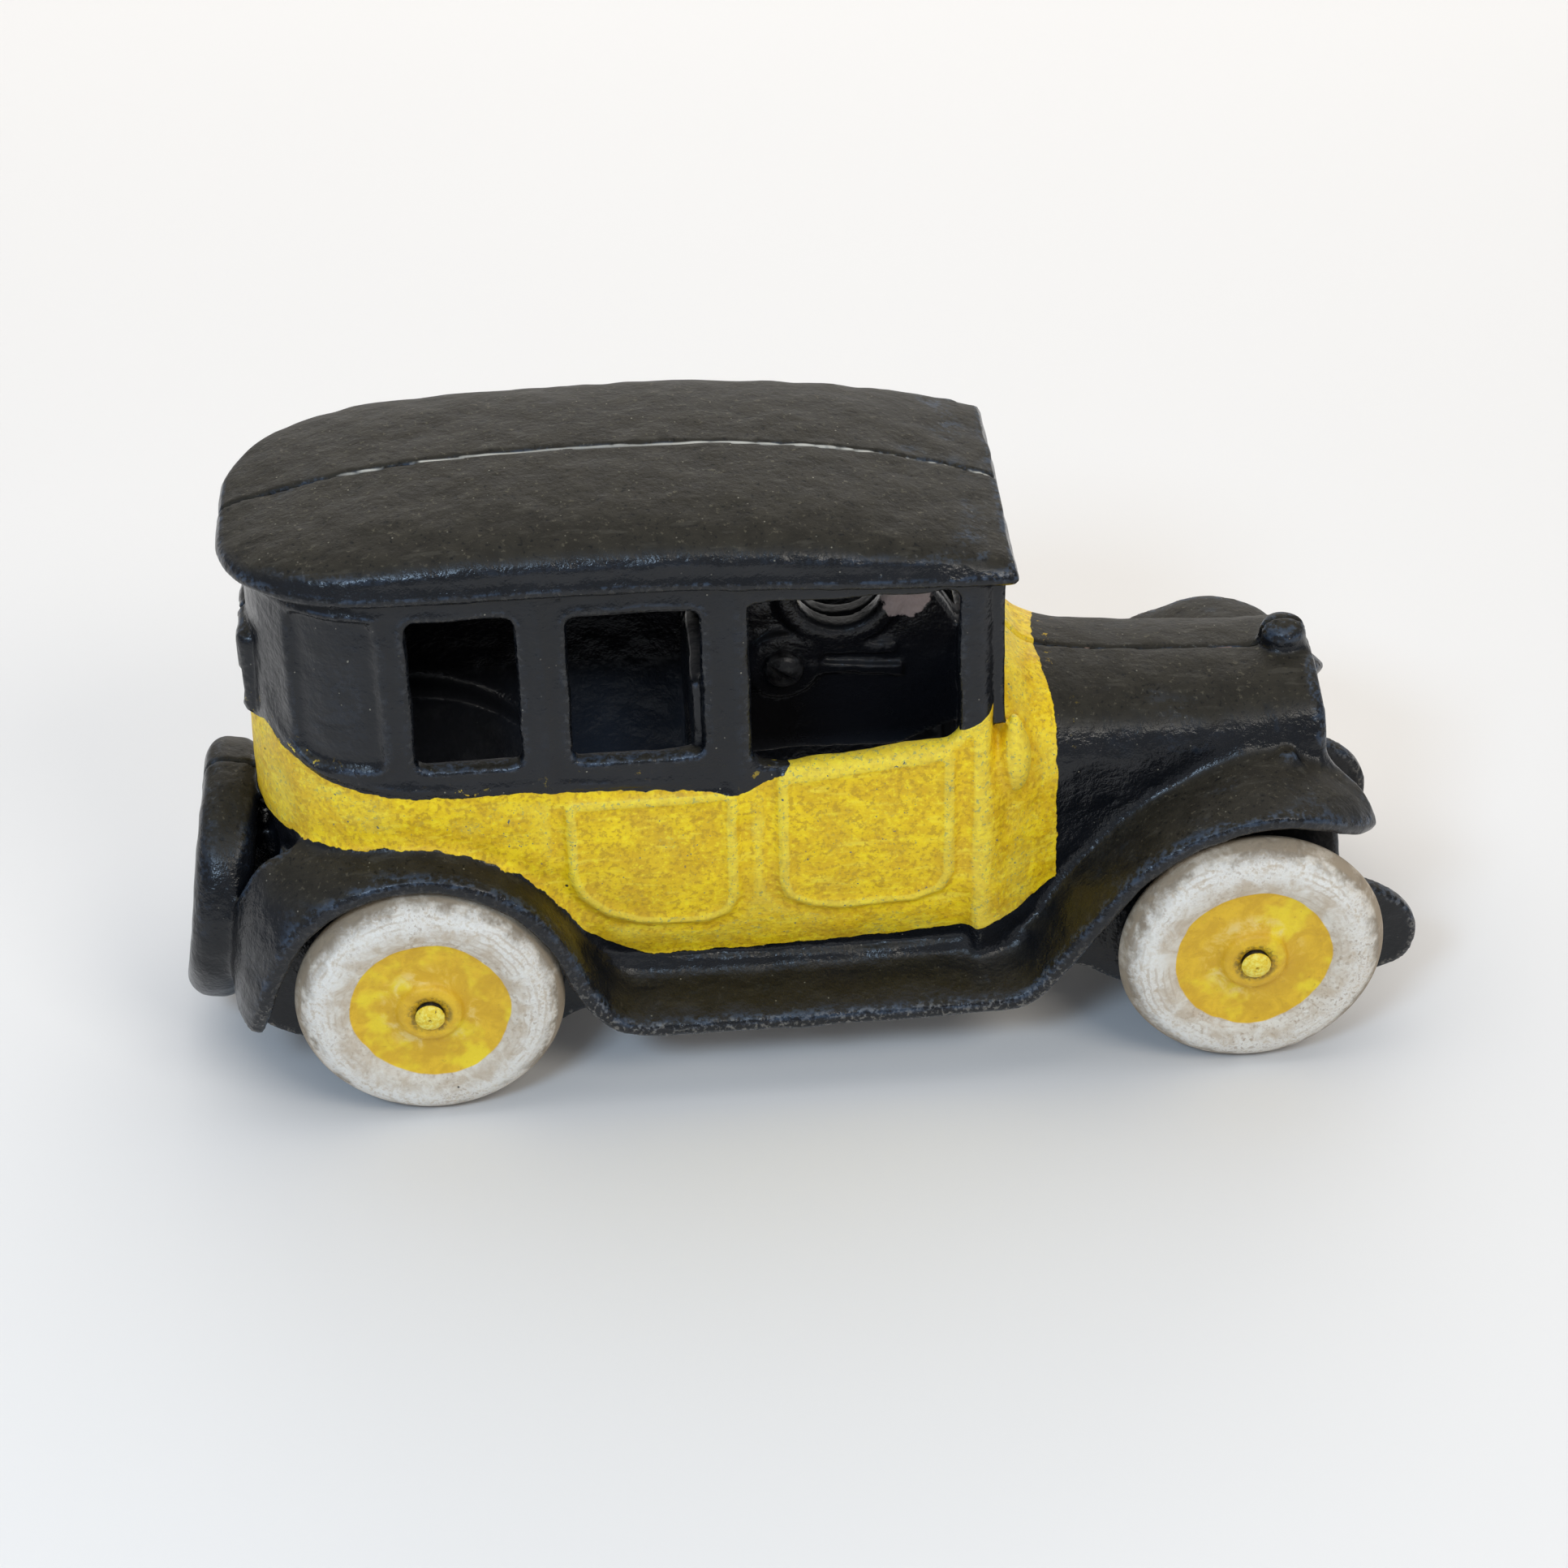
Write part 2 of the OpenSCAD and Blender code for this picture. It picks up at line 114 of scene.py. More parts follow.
class Nodes:
    """Short calls for building a node tree."""

    def __init__(self, name):
        self.mat = bpy.data.materials.new(name)
        self.mat.use_nodes = True
        self.t = self.mat.node_tree
        self.bsdf = self.t.nodes["Principled BSDF"]
        self.coord = self.t.nodes.new("ShaderNodeTexCoord").outputs["Object"]

    def put(self, socket, value):
        if isinstance(value, (int, float)):
            socket.default_value = value
        elif isinstance(value, tuple):
            socket.default_value = value if len(value) != 3 or socket.type != "RGBA" else (*value, 1)
        else:
            self.t.links.new(value, socket)

    def math(self, op, a, b=0.0, c=None, clamp=False):
        n = self.t.nodes.new("ShaderNodeMath")
        n.operation = op
        n.use_clamp = clamp
        self.put(n.inputs[0], a)
        self.put(n.inputs[1], b)
        if c is not None:
            self.put(n.inputs[2], c)
        return n.outputs[0]

    def mul(self, a, b):
        return self.math("MULTIPLY", a, b)

    def swing(self, value, amount):
        """A value around 0.5 as an offset around zero, amount from end to end."""
        return self.mul(self.math("SUBTRACT", value, 0.5), amount)

    def noise(self, scale, detail=3.0, rough=0.55, distort=0.0, stretch=None, offset=0.0):
        n = self.t.nodes.new("ShaderNodeTexNoise")
        n.inputs["Scale"].default_value = scale
        n.inputs["Detail"].default_value = detail
        n.inputs["Roughness"].default_value = rough
        n.inputs["Distortion"].default_value = distort
        m = self.t.nodes.new("ShaderNodeMapping")
        m.inputs["Location"].default_value = (offset, offset * 0.7, offset * 1.3)
        if stretch:
            m.inputs["Scale"].default_value = stretch
        self.t.links.new(self.coord, m.inputs["Vector"])
        self.t.links.new(m.outputs[0], n.inputs["Vector"])
        return n.outputs["Fac"]

    def cells(self, scale, offset=0.0, feature="F1"):
        n = self.t.nodes.new("ShaderNodeTexVoronoi")
        n.feature = feature
        n.inputs["Scale"].default_value = scale
        m = self.t.nodes.new("ShaderNodeMapping")
        m.inputs["Location"].default_value = (offset, offset, offset)
        self.t.links.new(self.coord, m.inputs["Vector"])
        self.t.links.new(m.outputs[0], n.inputs["Vector"])
        return n.outputs["Distance"]

    def attr(self, name):
        n = self.t.nodes.new("ShaderNodeAttribute")
        n.attribute_name = name
        return n.outputs["Fac"]

    def step(self, value, lo, hi):
        n = self.t.nodes.new("ShaderNodeMapRange")
        n.interpolation_type = "SMOOTHSTEP"
        n.clamp = True
        self.put(n.inputs["Value"], value)
        n.inputs["From Min"].default_value = lo
        n.inputs["From Max"].default_value = hi
        return n.outputs["Result"]

    def mix(self, fac, a, b):
        n = self.t.nodes.new("ShaderNodeMix")
        n.data_type = "RGBA"
        self.put(n.inputs[0], fac)
        self.put(n.inputs[6], a)
        self.put(n.inputs[7], b)
        return n.outputs[2]

    def bump(self, height, distance, strength=1.0, under=None):
        n = self.t.nodes.new("ShaderNodeBump")
        n.inputs["Strength"].default_value = strength
        n.inputs["Distance"].default_value = distance
        self.t.links.new(height, n.inputs["Height"])
        if under is not None:
            self.t.links.new(under, n.inputs["Normal"])
        return n.outputs[0]

    def finish(self, color, rough, normal, metallic=None):
        self.put(self.bsdf.inputs["Base Color"], color)
        self.put(self.bsdf.inputs["Roughness"], rough)
        self.t.links.new(normal, self.bsdf.inputs["Normal"])
        if metallic is not None:
            self.put(self.bsdf.inputs["Metallic"], metallic)
        return self.mat


def body_paint():
    n = Nodes("body_enamel")
    yel, edge, hollow, facing_up, inside = (n.attr(a) for a in ("yel", "edge", "hollow", "facing_up", "inside"))
    wide = n.noise(55, 4, 0.6)
    mid = n.noise(260, 4, 0.6, 0.4, offset=1.3)
    fine = n.noise(1100, 3, 0.6, offset=2.1)
    grain = n.noise(2600, 2, 0.5, offset=3.7)
    brushed = n.noise(420, 3, 0.6, stretch=(0.35, 1, 1.6), offset=0.4)

    # black enamel: satin on the sides, where its cool blue tint is a painted sky reflection, dull olive brown
    # where it faces up and has worn
    side = n.mix(n.step(wide, 0.35, 0.7), (0.0034, 0.0042, 0.0060, 1), (0.0080, 0.0088, 0.0112, 1))
    top = n.mix(n.step(mid, 0.3, 0.75), (0.0160, 0.0138, 0.0096, 1), (0.0285, 0.0248, 0.0175, 1))
    top = n.mix(n.step(fine, 0.60, 0.72), top, (0.066, 0.058, 0.040, 1))
    top = n.mix(n.step(fine, 0.42, 0.30), top, (0.006, 0.0058, 0.005, 1))
    # the olive top colour is kept out of hollows, which stay dark as a painted shade
    dull = n.mul(n.step(n.math("ADD", facing_up, n.mul(wide, 0.5)), 0.75, 1.12),
                  n.step(hollow, 0.55, 0.1))
    low = n.step(n.attr("height"), 30.0, 17.0)
    dull = n.mul(dull, n.math("MULTIPLY_ADD", low, -0.62, 1.0))
    black = n.mix(dull, side, top)
    drawn = n.noise(330, 3, 0.6, stretch=(0.5, 1.6, 1.6), offset=6.7)
    streak = n.mul(n.step(drawn, 0.57, 0.70), dull)
    black = n.mix(n.mul(streak, 0.45), black, (0.056, 0.051, 0.040, 1))
    lint = n.mul(n.step(n.cells(480, 0.3), 0.085, 0.05), n.step(mid, 0.45, 0.6))
    black = n.mix(n.mul(lint, 0.6), black, (0.30, 0.28, 0.22, 1))
    worn = n.mul(n.step(edge, 0.20, 0.42), n.step(fine, 0.50, 0.64))
    worn = n.mul(worn, n.math("MULTIPLY_ADD", low, 0.55, 0.10))
    black = n.mix(worn, black, (0.21, 0.195, 0.17, 1))
    # painted highlight: bluish sky reflection along up-facing edges of the black enamel
    lit_edge = n.mul(n.step(edge, 0.10, 0.26), n.step(facing_up, -0.05, 0.35))
    painted_blue_highlight = n.mul(lit_edge, n.step(n.math("ADD", brushed, fine), 0.92, 1.18))
    black = n.mix(n.mul(painted_blue_highlight, 0.5), black, (0.050, 0.078, 0.125, 1))
    # painted shade: the black inside the cab is darker higher up, under the roof, and lighter lower down
    inside_painted_shade = n.mix(n.step(n.attr("height"), 51.0, 44.0), (0.0085, 0.0085, 0.010, 1), (0.034, 0.037, 0.046, 1))
    black = n.mix(inside, black, inside_painted_shade)

    # chrome yellow, brushed on by hand
    lemon = n.mix(n.step(mid, 0.35, 0.7), (0.74, 0.455, 0.004, 1), (0.93, 0.66, 0.005, 1))
    lemon = n.mix(n.mul(n.step(wide, 0.45, 0.68), 0.75), lemon, (0.68, 0.41, 0.018, 1))
    lemon = n.mix(n.mul(n.step(brushed, 0.52, 0.72), 0.55), lemon, (0.97, 0.78, 0.06, 1))
    lemon = n.mix(n.mul(n.step(fine, 0.51, 0.63), 0.7), lemon, (0.52, 0.30, 0.010, 1))
    lemon = n.mix(n.mul(n.step(fine, 0.44, 0.32), 0.6), lemon, (0.98, 0.79, 0.02, 1))
    # painted shade: darker ochre in hollows and creases of the yellow
    lemon = n.mix(n.mul(n.step(hollow, 0.03, 0.22), 0.9), lemon, (0.50, 0.29, 0.003, 1))
    # painted highlight: paler yellow along raised edges
    lemon = n.mix(n.mul(n.step(edge, 0.06, 0.18), 0.35), lemon, (0.96, 0.82, 0.10, 1))
    rub = n.mul(n.step(edge, 0.035, 0.16), n.step(n.noise(1500, 3, 0.6, offset=9.1), 0.57, 0.66))
    lemon = n.mix(n.mul(rub, 0.65), lemon, (0.25, 0.31, 0.14, 1))
    chip = n.mul(n.step(n.noise(1400, 2, 0.5, offset=5.5), 0.70, 0.75), n.step(edge, -0.02, 0.08))
    lemon = n.mix(chip, lemon, (0.07, 0.11, 0.13, 1))
    pits = n.mul(n.step(n.cells(210, 2.2), 0.075, 0.045), n.step(mid, 0.5, 0.6))
    lemon = n.mix(pits, lemon, (0.03, 0.022, 0.012, 1))

    # ragged paint edge, with stray yellow flecks just beyond it
    ragged = n.math("ADD", yel, n.swing(n.noise(320, 3, 0.6, offset=7.0), 1.5))
    on = n.step(ragged, -0.05, 0.08)
    fleck_zone = n.mul(n.step(yel, -5.0, -0.5), n.step(wide, 0.50, 0.60))
    fleck = n.mul(fleck_zone, n.step(n.noise(700, 3, 0.65, offset=8.2), 0.62, 0.66))
    outside_high = n.mul(n.step(inside, 0.5, 0.1), n.step(n.attr("height"), 53.0, 56.0))
    fleck = n.mul(fleck, outside_high)
    on = n.math("MAXIMUM", on, fleck)
    color = n.mix(on, black, lemon)

    # a bare chipped patch on the web inside the cab
    chipped = n.attr("chip")
    bare = n.step(n.math("ADD", chipped, n.swing(n.noise(380, 3, 0.7, offset=4.4), 4.0)), -0.3, 0.3)
    color = n.mix(bare, color, n.mix(fine, (0.36, 0.27, 0.25, 1), (0.62, 0.52, 0.50, 1)))

    # the joint between the halves, bare along the roof and in spots along the hood
    sep = n.t.nodes.new("ShaderNodeSeparateXYZ")
    n.t.links.new(n.coord, sep.inputs[0])
    wander = n.swing(n.noise(60, 3, 0.6, offset=2.9), 0.0006)
    line = n.step(n.math("ABSOLUTE", n.math("ADD", sep.outputs["Y"], wander)), 0.00030, 0.00016)
    broken = n.step(n.noise(48, 4, 0.7, stretch=(1, 0.2, 0.2), offset=6.1), 0.36, 0.42)
    seam = n.mul(n.mul(n.attr("seam"), line), broken)
    color = n.mix(seam, color, (0.60, 0.57, 0.50, 1))
    patches = n.step(n.noise(210, 2, 0.6, offset=1.9), 0.60, 0.64)
    pink = n.mul(n.mul(n.attr("hood_seam"), line), patches)
    color = n.mix(pink, color, (0.42, 0.27, 0.21, 1))

    rough_black = n.math("ADD", n.mul(dull, 0.36), n.math("MULTIPLY_ADD", mid, 0.20, 0.14))
    gloss = n.math("ADD", 0.40, n.mul(dull, -0.24))
    n.put(n.bsdf.inputs["Specular IOR Level"], n.math("MAXIMUM", gloss, n.mul(on, 0.22)))
    rough_yellow = n.math("MULTIPLY_ADD", mid, 0.25, 0.38)
    rough_black = n.mul(rough_black, n.math("SUBTRACT", 1.0, on))
    rough = n.math("ADD", rough_black, n.mul(rough_yellow, on))
    rough = n.math("MAXIMUM", rough, n.mul(bare, 0.8))
    normal = n.bump(n.noise(130, 3, 0.55, offset=3.1), 0.0011, 0.5)
    normal = n.bump(mid, 0.00045, 0.6, normal)
    normal = n.bump(fine, 0.00020, 0.65, normal)
    normal = n.bump(grain, 0.00006, 0.5, normal)
    normal = n.bump(on, 0.00008, 0.6, normal)
    return n.finish(color, rough, normal)


def wheel_paint():
    n = Nodes("wheel_paint")
    rad, tread = n.attr("rad"), n.attr("tread")
    wide = n.noise(70, 4, 0.6)
    mid = n.noise(300, 4, 0.65, 0.5, offset=1.1)
    fine = n.noise(1300, 3, 0.6, offset=2.2)
    grain = n.noise(3000, 2, 0.5, offset=3.3)
    chalk = n.mix(n.step(mid, 0.32, 0.7), (0.55, 0.46, 0.35, 1), (0.73, 0.69, 0.61, 1))
    ring = n.math("ADD", rad, n.swing(mid, 5.0))
    # painted highlight: a paler band round the tyre's outer face
    tyre_painted_highlight = n.mul(n.step(ring, 15.0, 18.0), n.step(ring, 21.4, 19.6))
    chalk = n.mix(n.mul(tyre_painted_highlight, n.step(fine, 0.3, 0.6)), chalk, (0.80, 0.78, 0.73, 1))
    dust = n.mul(n.step(fine, 0.50, 0.68), n.step(wide, 0.35, 0.65))
    chalk = n.mix(n.mul(dust, 0.85), chalk, (0.40, 0.31, 0.22, 1))
    brush = n.step(n.math("SINE", n.math("ADD", n.mul(rad, 5.5), n.mul(mid, 9.0))), 0.25, 0.9)
    brush = n.mul(brush, n.step(n.noise(140, 3, 0.6, offset=7.7), 0.47, 0.60))
    chalk = n.mix(n.mul(brush, 0.55), chalk, (0.50, 0.41, 0.31, 1))
    edge_wear = n.mul(n.step(ring, 18.6, 21.4), n.step(n.noise(160, 4, 0.65, offset=5.0), 0.40, 0.56))
    chalk = n.mix(n.mul(edge_wear, 0.9), chalk, (0.215, 0.165, 0.11, 1))
    chalk = n.mix(n.mul(n.step(tread, 0.2, 0.8), n.step(mid, 0.30, 0.60)), chalk, (0.33, 0.26, 0.18, 1))
    black_pit = n.mul(n.step(n.cells(230, 1.7), 0.06, 0.035), n.step(wide, 0.5, 0.6))
    chalk = n.mix(black_pit, chalk, (0.05, 0.045, 0.04, 1))

    gold = n.mix(n.step(mid, 0.35, 0.68), (0.66, 0.38, 0.012, 1), (0.80, 0.50, 0.02, 1))
    bright = n.step(n.noise(120, 3, 0.6, offset=6.6), 0.52, 0.66)
    gold = n.mix(n.mul(bright, 0.8), gold, (0.88, 0.68, 0.02, 1))
    gold = n.mix(n.mul(n.step(fine, 0.60, 0.75), 0.5), gold, (0.52, 0.27, 0.02, 1))
    halo = n.mul(n.step(rad, 5.2, 6.2), n.step(rad, 9.5, 6.5))
    gold = n.mix(n.mul(n.mul(halo, n.step(mid, 0.46, 0.66)), 0.4), gold, (0.80, 0.70, 0.42, 1))
    ditch = n.mul(n.step(rad, 4.0, 3.2), n.step(fine, 0.38, 0.6))
    gold = n.mix(n.mul(ditch, 0.75), gold, (0.20, 0.13, 0.02, 1))
    limit = n.math("ADD", rad, n.swing(n.noise(90, 3, 0.55, offset=9.0), 1.9))
    disc = n.mul(n.step(limit, 13.25, 13.0), n.step(tread, 0.4, 0.1))
    disc = n.mul(disc, n.attr("outer_face"))
    color = n.mix(disc, chalk, gold)
    rough = n.math("ADD", n.mul(disc, -0.22), n.math("MULTIPLY_ADD", mid, 0.2, 0.60))
    bubbles = n.step(n.cells(330, 4.0), 0.16, 0.10)
    normal = n.bump(mid, 0.0003, 0.5)
    normal = n.bump(fine, 0.00018, 0.7, normal)
    normal = n.bump(bubbles, 0.00006, 0.6, normal)
    normal = n.bump(grain, 0.00006, 0.6, normal)
    return n.finish(color, rough, normal)


def axle_steel():
    n = Nodes("axle_steel")
    sep = n.t.nodes.new("ShaderNodeSeparateXYZ")
    n.t.links.new(n.coord, sep.inputs[0])
    off = n.math("ABSOLUTE", sep.outputs["Y"])
    mid = n.noise(500, 4, 0.65)
    fine = n.noise(1500, 3, 0.6, offset=1.0)
    steel = n.mix(n.step(mid, 0.35, 0.65), (0.10, 0.09, 0.08, 1), (0.27, 0.25, 0.22, 1))
    yellow = n.mix(n.step(fine, 0.4, 0.65), (0.80, 0.56, 0.02, 1), (0.88, 0.76, 0.14, 1))
    edge = n.math("ADD", off, n.swing(mid, 0.0012))
    on = n.step(edge, 0.0366, 0.0370)
    on = n.mul(on, n.step(fine, 0.30, 0.36))
    color = n.mix(on, steel, yellow)
    rough = n.math("MULTIPLY_ADD", mid, 0.3, 0.35)
    metal = n.math("SUBTRACT", 0.9, n.mul(on, 0.9), clamp=True)
    normal = n.bump(mid, 0.0002, 0.6)
    normal = n.bump(fine, 0.0001, 0.6, normal)
    return n.finish(color, rough, normal, metal)


def screw_steel():
    n = Nodes("screw_blackened")
    mid = n.noise(600, 4, 0.65)
    fine = n.noise(1700, 3, 0.6, offset=1.0)
    color = n.mix(n.step(mid, 0.4, 0.65), (0.012, 0.012, 0.014, 1), (0.05, 0.05, 0.052, 1))
    color = n.mix(n.step(fine, 0.66, 0.74), color, (0.25, 0.24, 0.22, 1))
    rough = n.math("MULTIPLY_ADD", mid, 0.3, 0.22)
    normal = n.bump(mid, 0.0002, 0.6)
    return n.finish(color, rough, normal, 0.4)


def floor_paper():
    n = Nodes("floor_paper")
    wide = n.noise(3, 2, 0.5)
    fine = n.noise(900, 2, 0.5, offset=1.0)
    color = n.mix(wide, (0.745, 0.733, 0.720, 1), (0.775, 0.763, 0.750, 1))
    normal = n.bump(fine, 0.00004, 0.3)
    return n.finish(color, 0.75, normal)


# ---------------------------------------------------------------- the casting as a distance field, in mm
VOXEL = 0.56
BAND = 9.0
EMPTY = 5.0         # field value outside everything
LOW = np.array([-107.0, -2.2, 3.0])
SIZE = np.array([214.0, 40.0, 105.5])
CELLS = np.ceil(SIZE / VOXEL).astype(int)
FIRST = np.round(LOW / VOXEL).astype(int)
gx = ((np.arange(CELLS[0]) + FIRST[0]) * VOXEL).astype(np.float32)[:, None, None]
gy = ((np.arange(CELLS[1]) + FIRST[1]) * VOXEL).astype(np.float32)[None, :, None]
gz = ((np.arange(CELLS[2]) + FIRST[2]) * VOXEL).astype(np.float32)[None, None, :]
FRAME_SCALE = vdb.createLinearTransform(voxelSize=VOXEL)


def field(rings):
    """Distance field of the closed skin through rings, an array of stations x points x 3."""
    rings = np.asarray(rings, np.float32)
    m, n, _ = rings.shape
    pts = np.concatenate([rings.reshape(-1, 3), rings[0].mean(0)[None], rings[-1].mean(0)[None]])
    j, i = np.meshgrid(np.arange(m - 1), np.arange(n), indexing="ij")
    k = (i + 1) % n
    quads = np.stack([j * n + i, j * n + k, (j + 1) * n + k, (j + 1) * n + i], -1).reshape(-1, 4)
    i = np.arange(n)
    k = (i + 1) % n
    caps = np.concatenate([
        np.stack([k, i, np.full(n, m * n)], -1),
        np.stack([(m - 1) * n + i, (m - 1) * n + k, np.full(n, m * n + 1)], -1)])
    grid = vdb.FloatGrid.createLevelSetFromPolygons(
        np.ascontiguousarray(pts, np.float32), triangles=np.ascontiguousarray(caps, np.uint32),
        quads=np.ascontiguousarray(quads, np.uint32), transform=FRAME_SCALE, halfWidth=BAND)
    out = np.empty(tuple(CELLS), np.float32)
    grid.copyToArray(out, ijk=tuple(int(v) for v in FIRST))
    return out


def smin(a, b, k):
    h = np.clip(0.5 + 0.5 * (b - a) / k, 0, 1)
    return b * (1 - h) + a * h - k * h * (1 - h)


def smax(a, b, k):
    return -smin(-a, -b, k)


def blur(a, radius):
    """Box blur, twice, along each axis."""
    n = max(1, int(round(radius / VOXEL)))
    for _ in range(2):
        for axis in range(3):
            pad = [(0, 0)] * 3
            pad[axis] = (n + 1, n)
            c = np.cumsum(np.pad(a, pad, mode="edge"), axis=axis, dtype=np.float64)
            hi = [slice(None)] * 3
            lo = [slice(None)] * 3
            hi[axis] = slice(2 * n + 1, None)
            lo[axis] = slice(0, -(2 * n + 1))
            a = ((c[tuple(hi)] - c[tuple(lo)]) / (2 * n + 1)).astype(np.float32)
    return a


def lumps(radius, seed):
    """Smooth random field of unit spread whose lumps are about radius across."""
    rng = np.random.default_rng(seed)
    a = blur(rng.standard_normal(tuple(CELLS), dtype=np.float32), radius)
    return a / a.std()


def crown(w, h, power, steps):
    """Quarter of a rounded-off rectangle, from the side (w, 0) up to the top (0, h)."""
    t = np.linspace(0, math.pi / 2, steps + 1)
    across, up_ = (np.clip(f(t), 0, 1) ** (2 / power) for f in (np.cos, np.sin))
    return np.stack([w * across, h * up_], -1)


def eased(table, reach=3.0):
    """Piecewise table as a function with its corners rounded off."""
    t = np.array(table, float)
    xs = np.arange(t[0, 0] - 12, t[-1, 0] + 12, 0.25)
    ys = np.interp(xs, t[:, 0], t[:, 1])
    n = int(reach / 0.25)
    for _ in range(2):
        ys = np.convolve(np.pad(ys, n, mode="edge"), np.ones(2 * n + 1) / (2 * n + 1), mode="valid")
    return lambda x: np.interp(x, xs, ys)


def step01(x, lo, hi):
    t = np.clip((x - lo) / (hi - lo), 0, 1)
    return t * t * (3 - 2 * t)


def bell(d, width):
    return np.exp(-(d / width) ** 2)


def poly(points, rounding=0.0):
    """Distance to a polygon in the x-z plane, with its corners rounded."""
    p = np.array(points, float)
    if rounding:
        c = p.mean(0)
        area = 0.5 * np.sum(p[:, 0] * np.roll(p[:, 1], -1) - np.roll(p[:, 0], -1) * p[:, 1])
        e = np.roll(p, -1, 0) - p
        nrm = np.stack([e[:, 1], -e[:, 0]], -1) / np.linalg.norm(e, axis=1)[:, None] * np.sign(area)
        prev = np.roll(nrm, 1, 0)
        mid = nrm + prev
        p = p - rounding * mid / np.maximum((mid * nrm).sum(1), 0.35)[:, None]
    X, Z = gx[:, 0, :], gz[0]
    d = np.full(X.shape[:1] + Z.shape[-1:], 1e9)
    inside = np.zeros(d.shape, bool)
    for a, b in zip(p, np.roll(p, -1, 0)):
        e = b - a
        t = np.clip(((X - a[0]) * e[0] + (Z - a[1]) * e[1]) / (e @ e), 0, 1)
        d = np.minimum(d, np.hypot(X - a[0] - t * e[0], Z - a[1] - t * e[1]))
        crosses = (a[1] <= Z) != (b[1] <= Z)
        if e[1]:
            inside ^= crosses & (X < a[0] + (Z - a[1]) * e[0] / e[1])
    return (np.where(inside, -d, d) - rounding).astype(np.float32)[:, None, :]


def rounded_box(x0, x1, z0, z1, r):
    qx = np.abs(gx - (x0 + x1) / 2) - (x1 - x0) / 2 + r
    qz = np.abs(gz - (z0 + z1) / 2) - (z1 - z0) / 2 + r
    return np.hypot(np.maximum(qx, 0), np.maximum(qz, 0)) + np.minimum(np.maximum(qx, qz), 0) - r


def block(lo, hi, r):
    q = [np.abs(g - (a + b) / 2) - (b - a) / 2 + r for g, a, b in zip((gx, gy, gz), lo, hi)]
    out = np.sqrt(sum(np.maximum(v, 0) ** 2 for v in q))
    return out + np.minimum(np.maximum(np.maximum(q[0], q[1]), q[2]), 0) - r


def corner_cut(p):
    p = np.asarray(p, float)
    a, b = p[:-1], p[1:]
    mid = np.stack([a * 0.75 + b * 0.25, a * 0.25 + b * 0.75], 1).reshape(-1, p.shape[1])
    return np.concatenate([p[:1], mid, p[-1:]])


WALL = 3.0
SOFT = 0.8          # how far the casting's outer edges are rounded
EDGE_Y = -6.0
HALF_W = 27.5
SCREW_X, SCREW_Z = -0.6, 64.4
SCREW_HOLE_R = 1.95
WHEEL_X = {"front": 74.0, "rear": -61.6}
WHEEL_Z = 22.0
AXLE_HOLE_R = 2.1
# by height: how far the cab's side stands out from HALF_W, and where its back is
taper = eased([
    (18, -6.9), (22, -4.8), (27, -2.9), (33, -1.4), (40, -0.4), (48, 0), (57, 0), (66, -0.4), (95, -1.7)])
rear = eased([(18, -72), (27, -79), (38, -86), (48, -88.4), (60, -88.3), (75, -87.2), (95, -86.6)])
CAB_FRONT_X = 31.5
CAB_CORNER_X = -62     # where the sides start to turn in towards the back
ROOF_PEAK_X = -32
ROOF_REAR_X = -89.6
ROOF_FRONT_X = 35
ROOF_HALF_W = 28.5
ROOF_IN_Z = 86         # the roof's hollow starts here, inside the cab's


def cab_ring(z, g):
    """Outline of half the cab in plan at height z, grown outwards by g."""
    w = HALF_W + taper(z) + g
    xr = rear(z) - g
    front = CAB_FRONT_X + min(g, 0)
    c = crown(w, CAB_CORNER_X - xr, 2.15, 40)
    t = np.linspace(0, math.pi / 2, 7)
    nose = np.stack([front - 1.8 + 1.8 * np.cos(t), w - 1.8 + 1.8 * np.sin(t)], -1)
    back_curve = np.stack([CAB_CORNER_X - c[:, 1], c[:, 0]], -1)
    pts = np.concatenate([[[front, EDGE_Y]], nose, back_curve, [[xr, EDGE_Y]]])
    return np.column_stack([pts, np.full(len(pts), z)])


def ridge(x):
    """Height of the roof along its middle."""
    to_front = 9.8 * (np.maximum(x - ROOF_PEAK_X, 0) / 67) ** 2.6
    to_rear = 6.2 * (np.maximum(ROOF_PEAK_X - x, 0) / 57) ** 2.1
    return 105.8 - np.where(x > ROOF_PEAK_X, to_front, to_rear)


def drip(x):
    """Height of the roof's lower edge."""
    return 95.1 - 3.5 * (np.maximum(x + 25, 0) / 60) ** 1.3


def roof_w(x):
    rear_part = ROOF_HALF_W * np.clip(1 - (np.maximum(-60 - x, 0) / 29.6) ** 2.6, 0, 1) ** (1 / 2.6)
    return np.where(x < -60, rear_part, ROOF_HALF_W - 1.6 * (np.maximum(x - 5, 0) / 30) ** 2)


def roof_ring(x, w, z0, h, rim, at=None):
    c = crown(w, h - rim, 3.2, 36)
    pts = np.concatenate([[[EDGE_Y, z0], [max(w - 0.3, 0.05), z0], [w, z0 + 0.5]],
                          np.stack([c[:, 0], z0 + rim + c[:, 1]], -1), [[EDGE_Y, z0 + h]]])
    return np.column_stack([np.full(len(pts), x if at is None else at), pts])


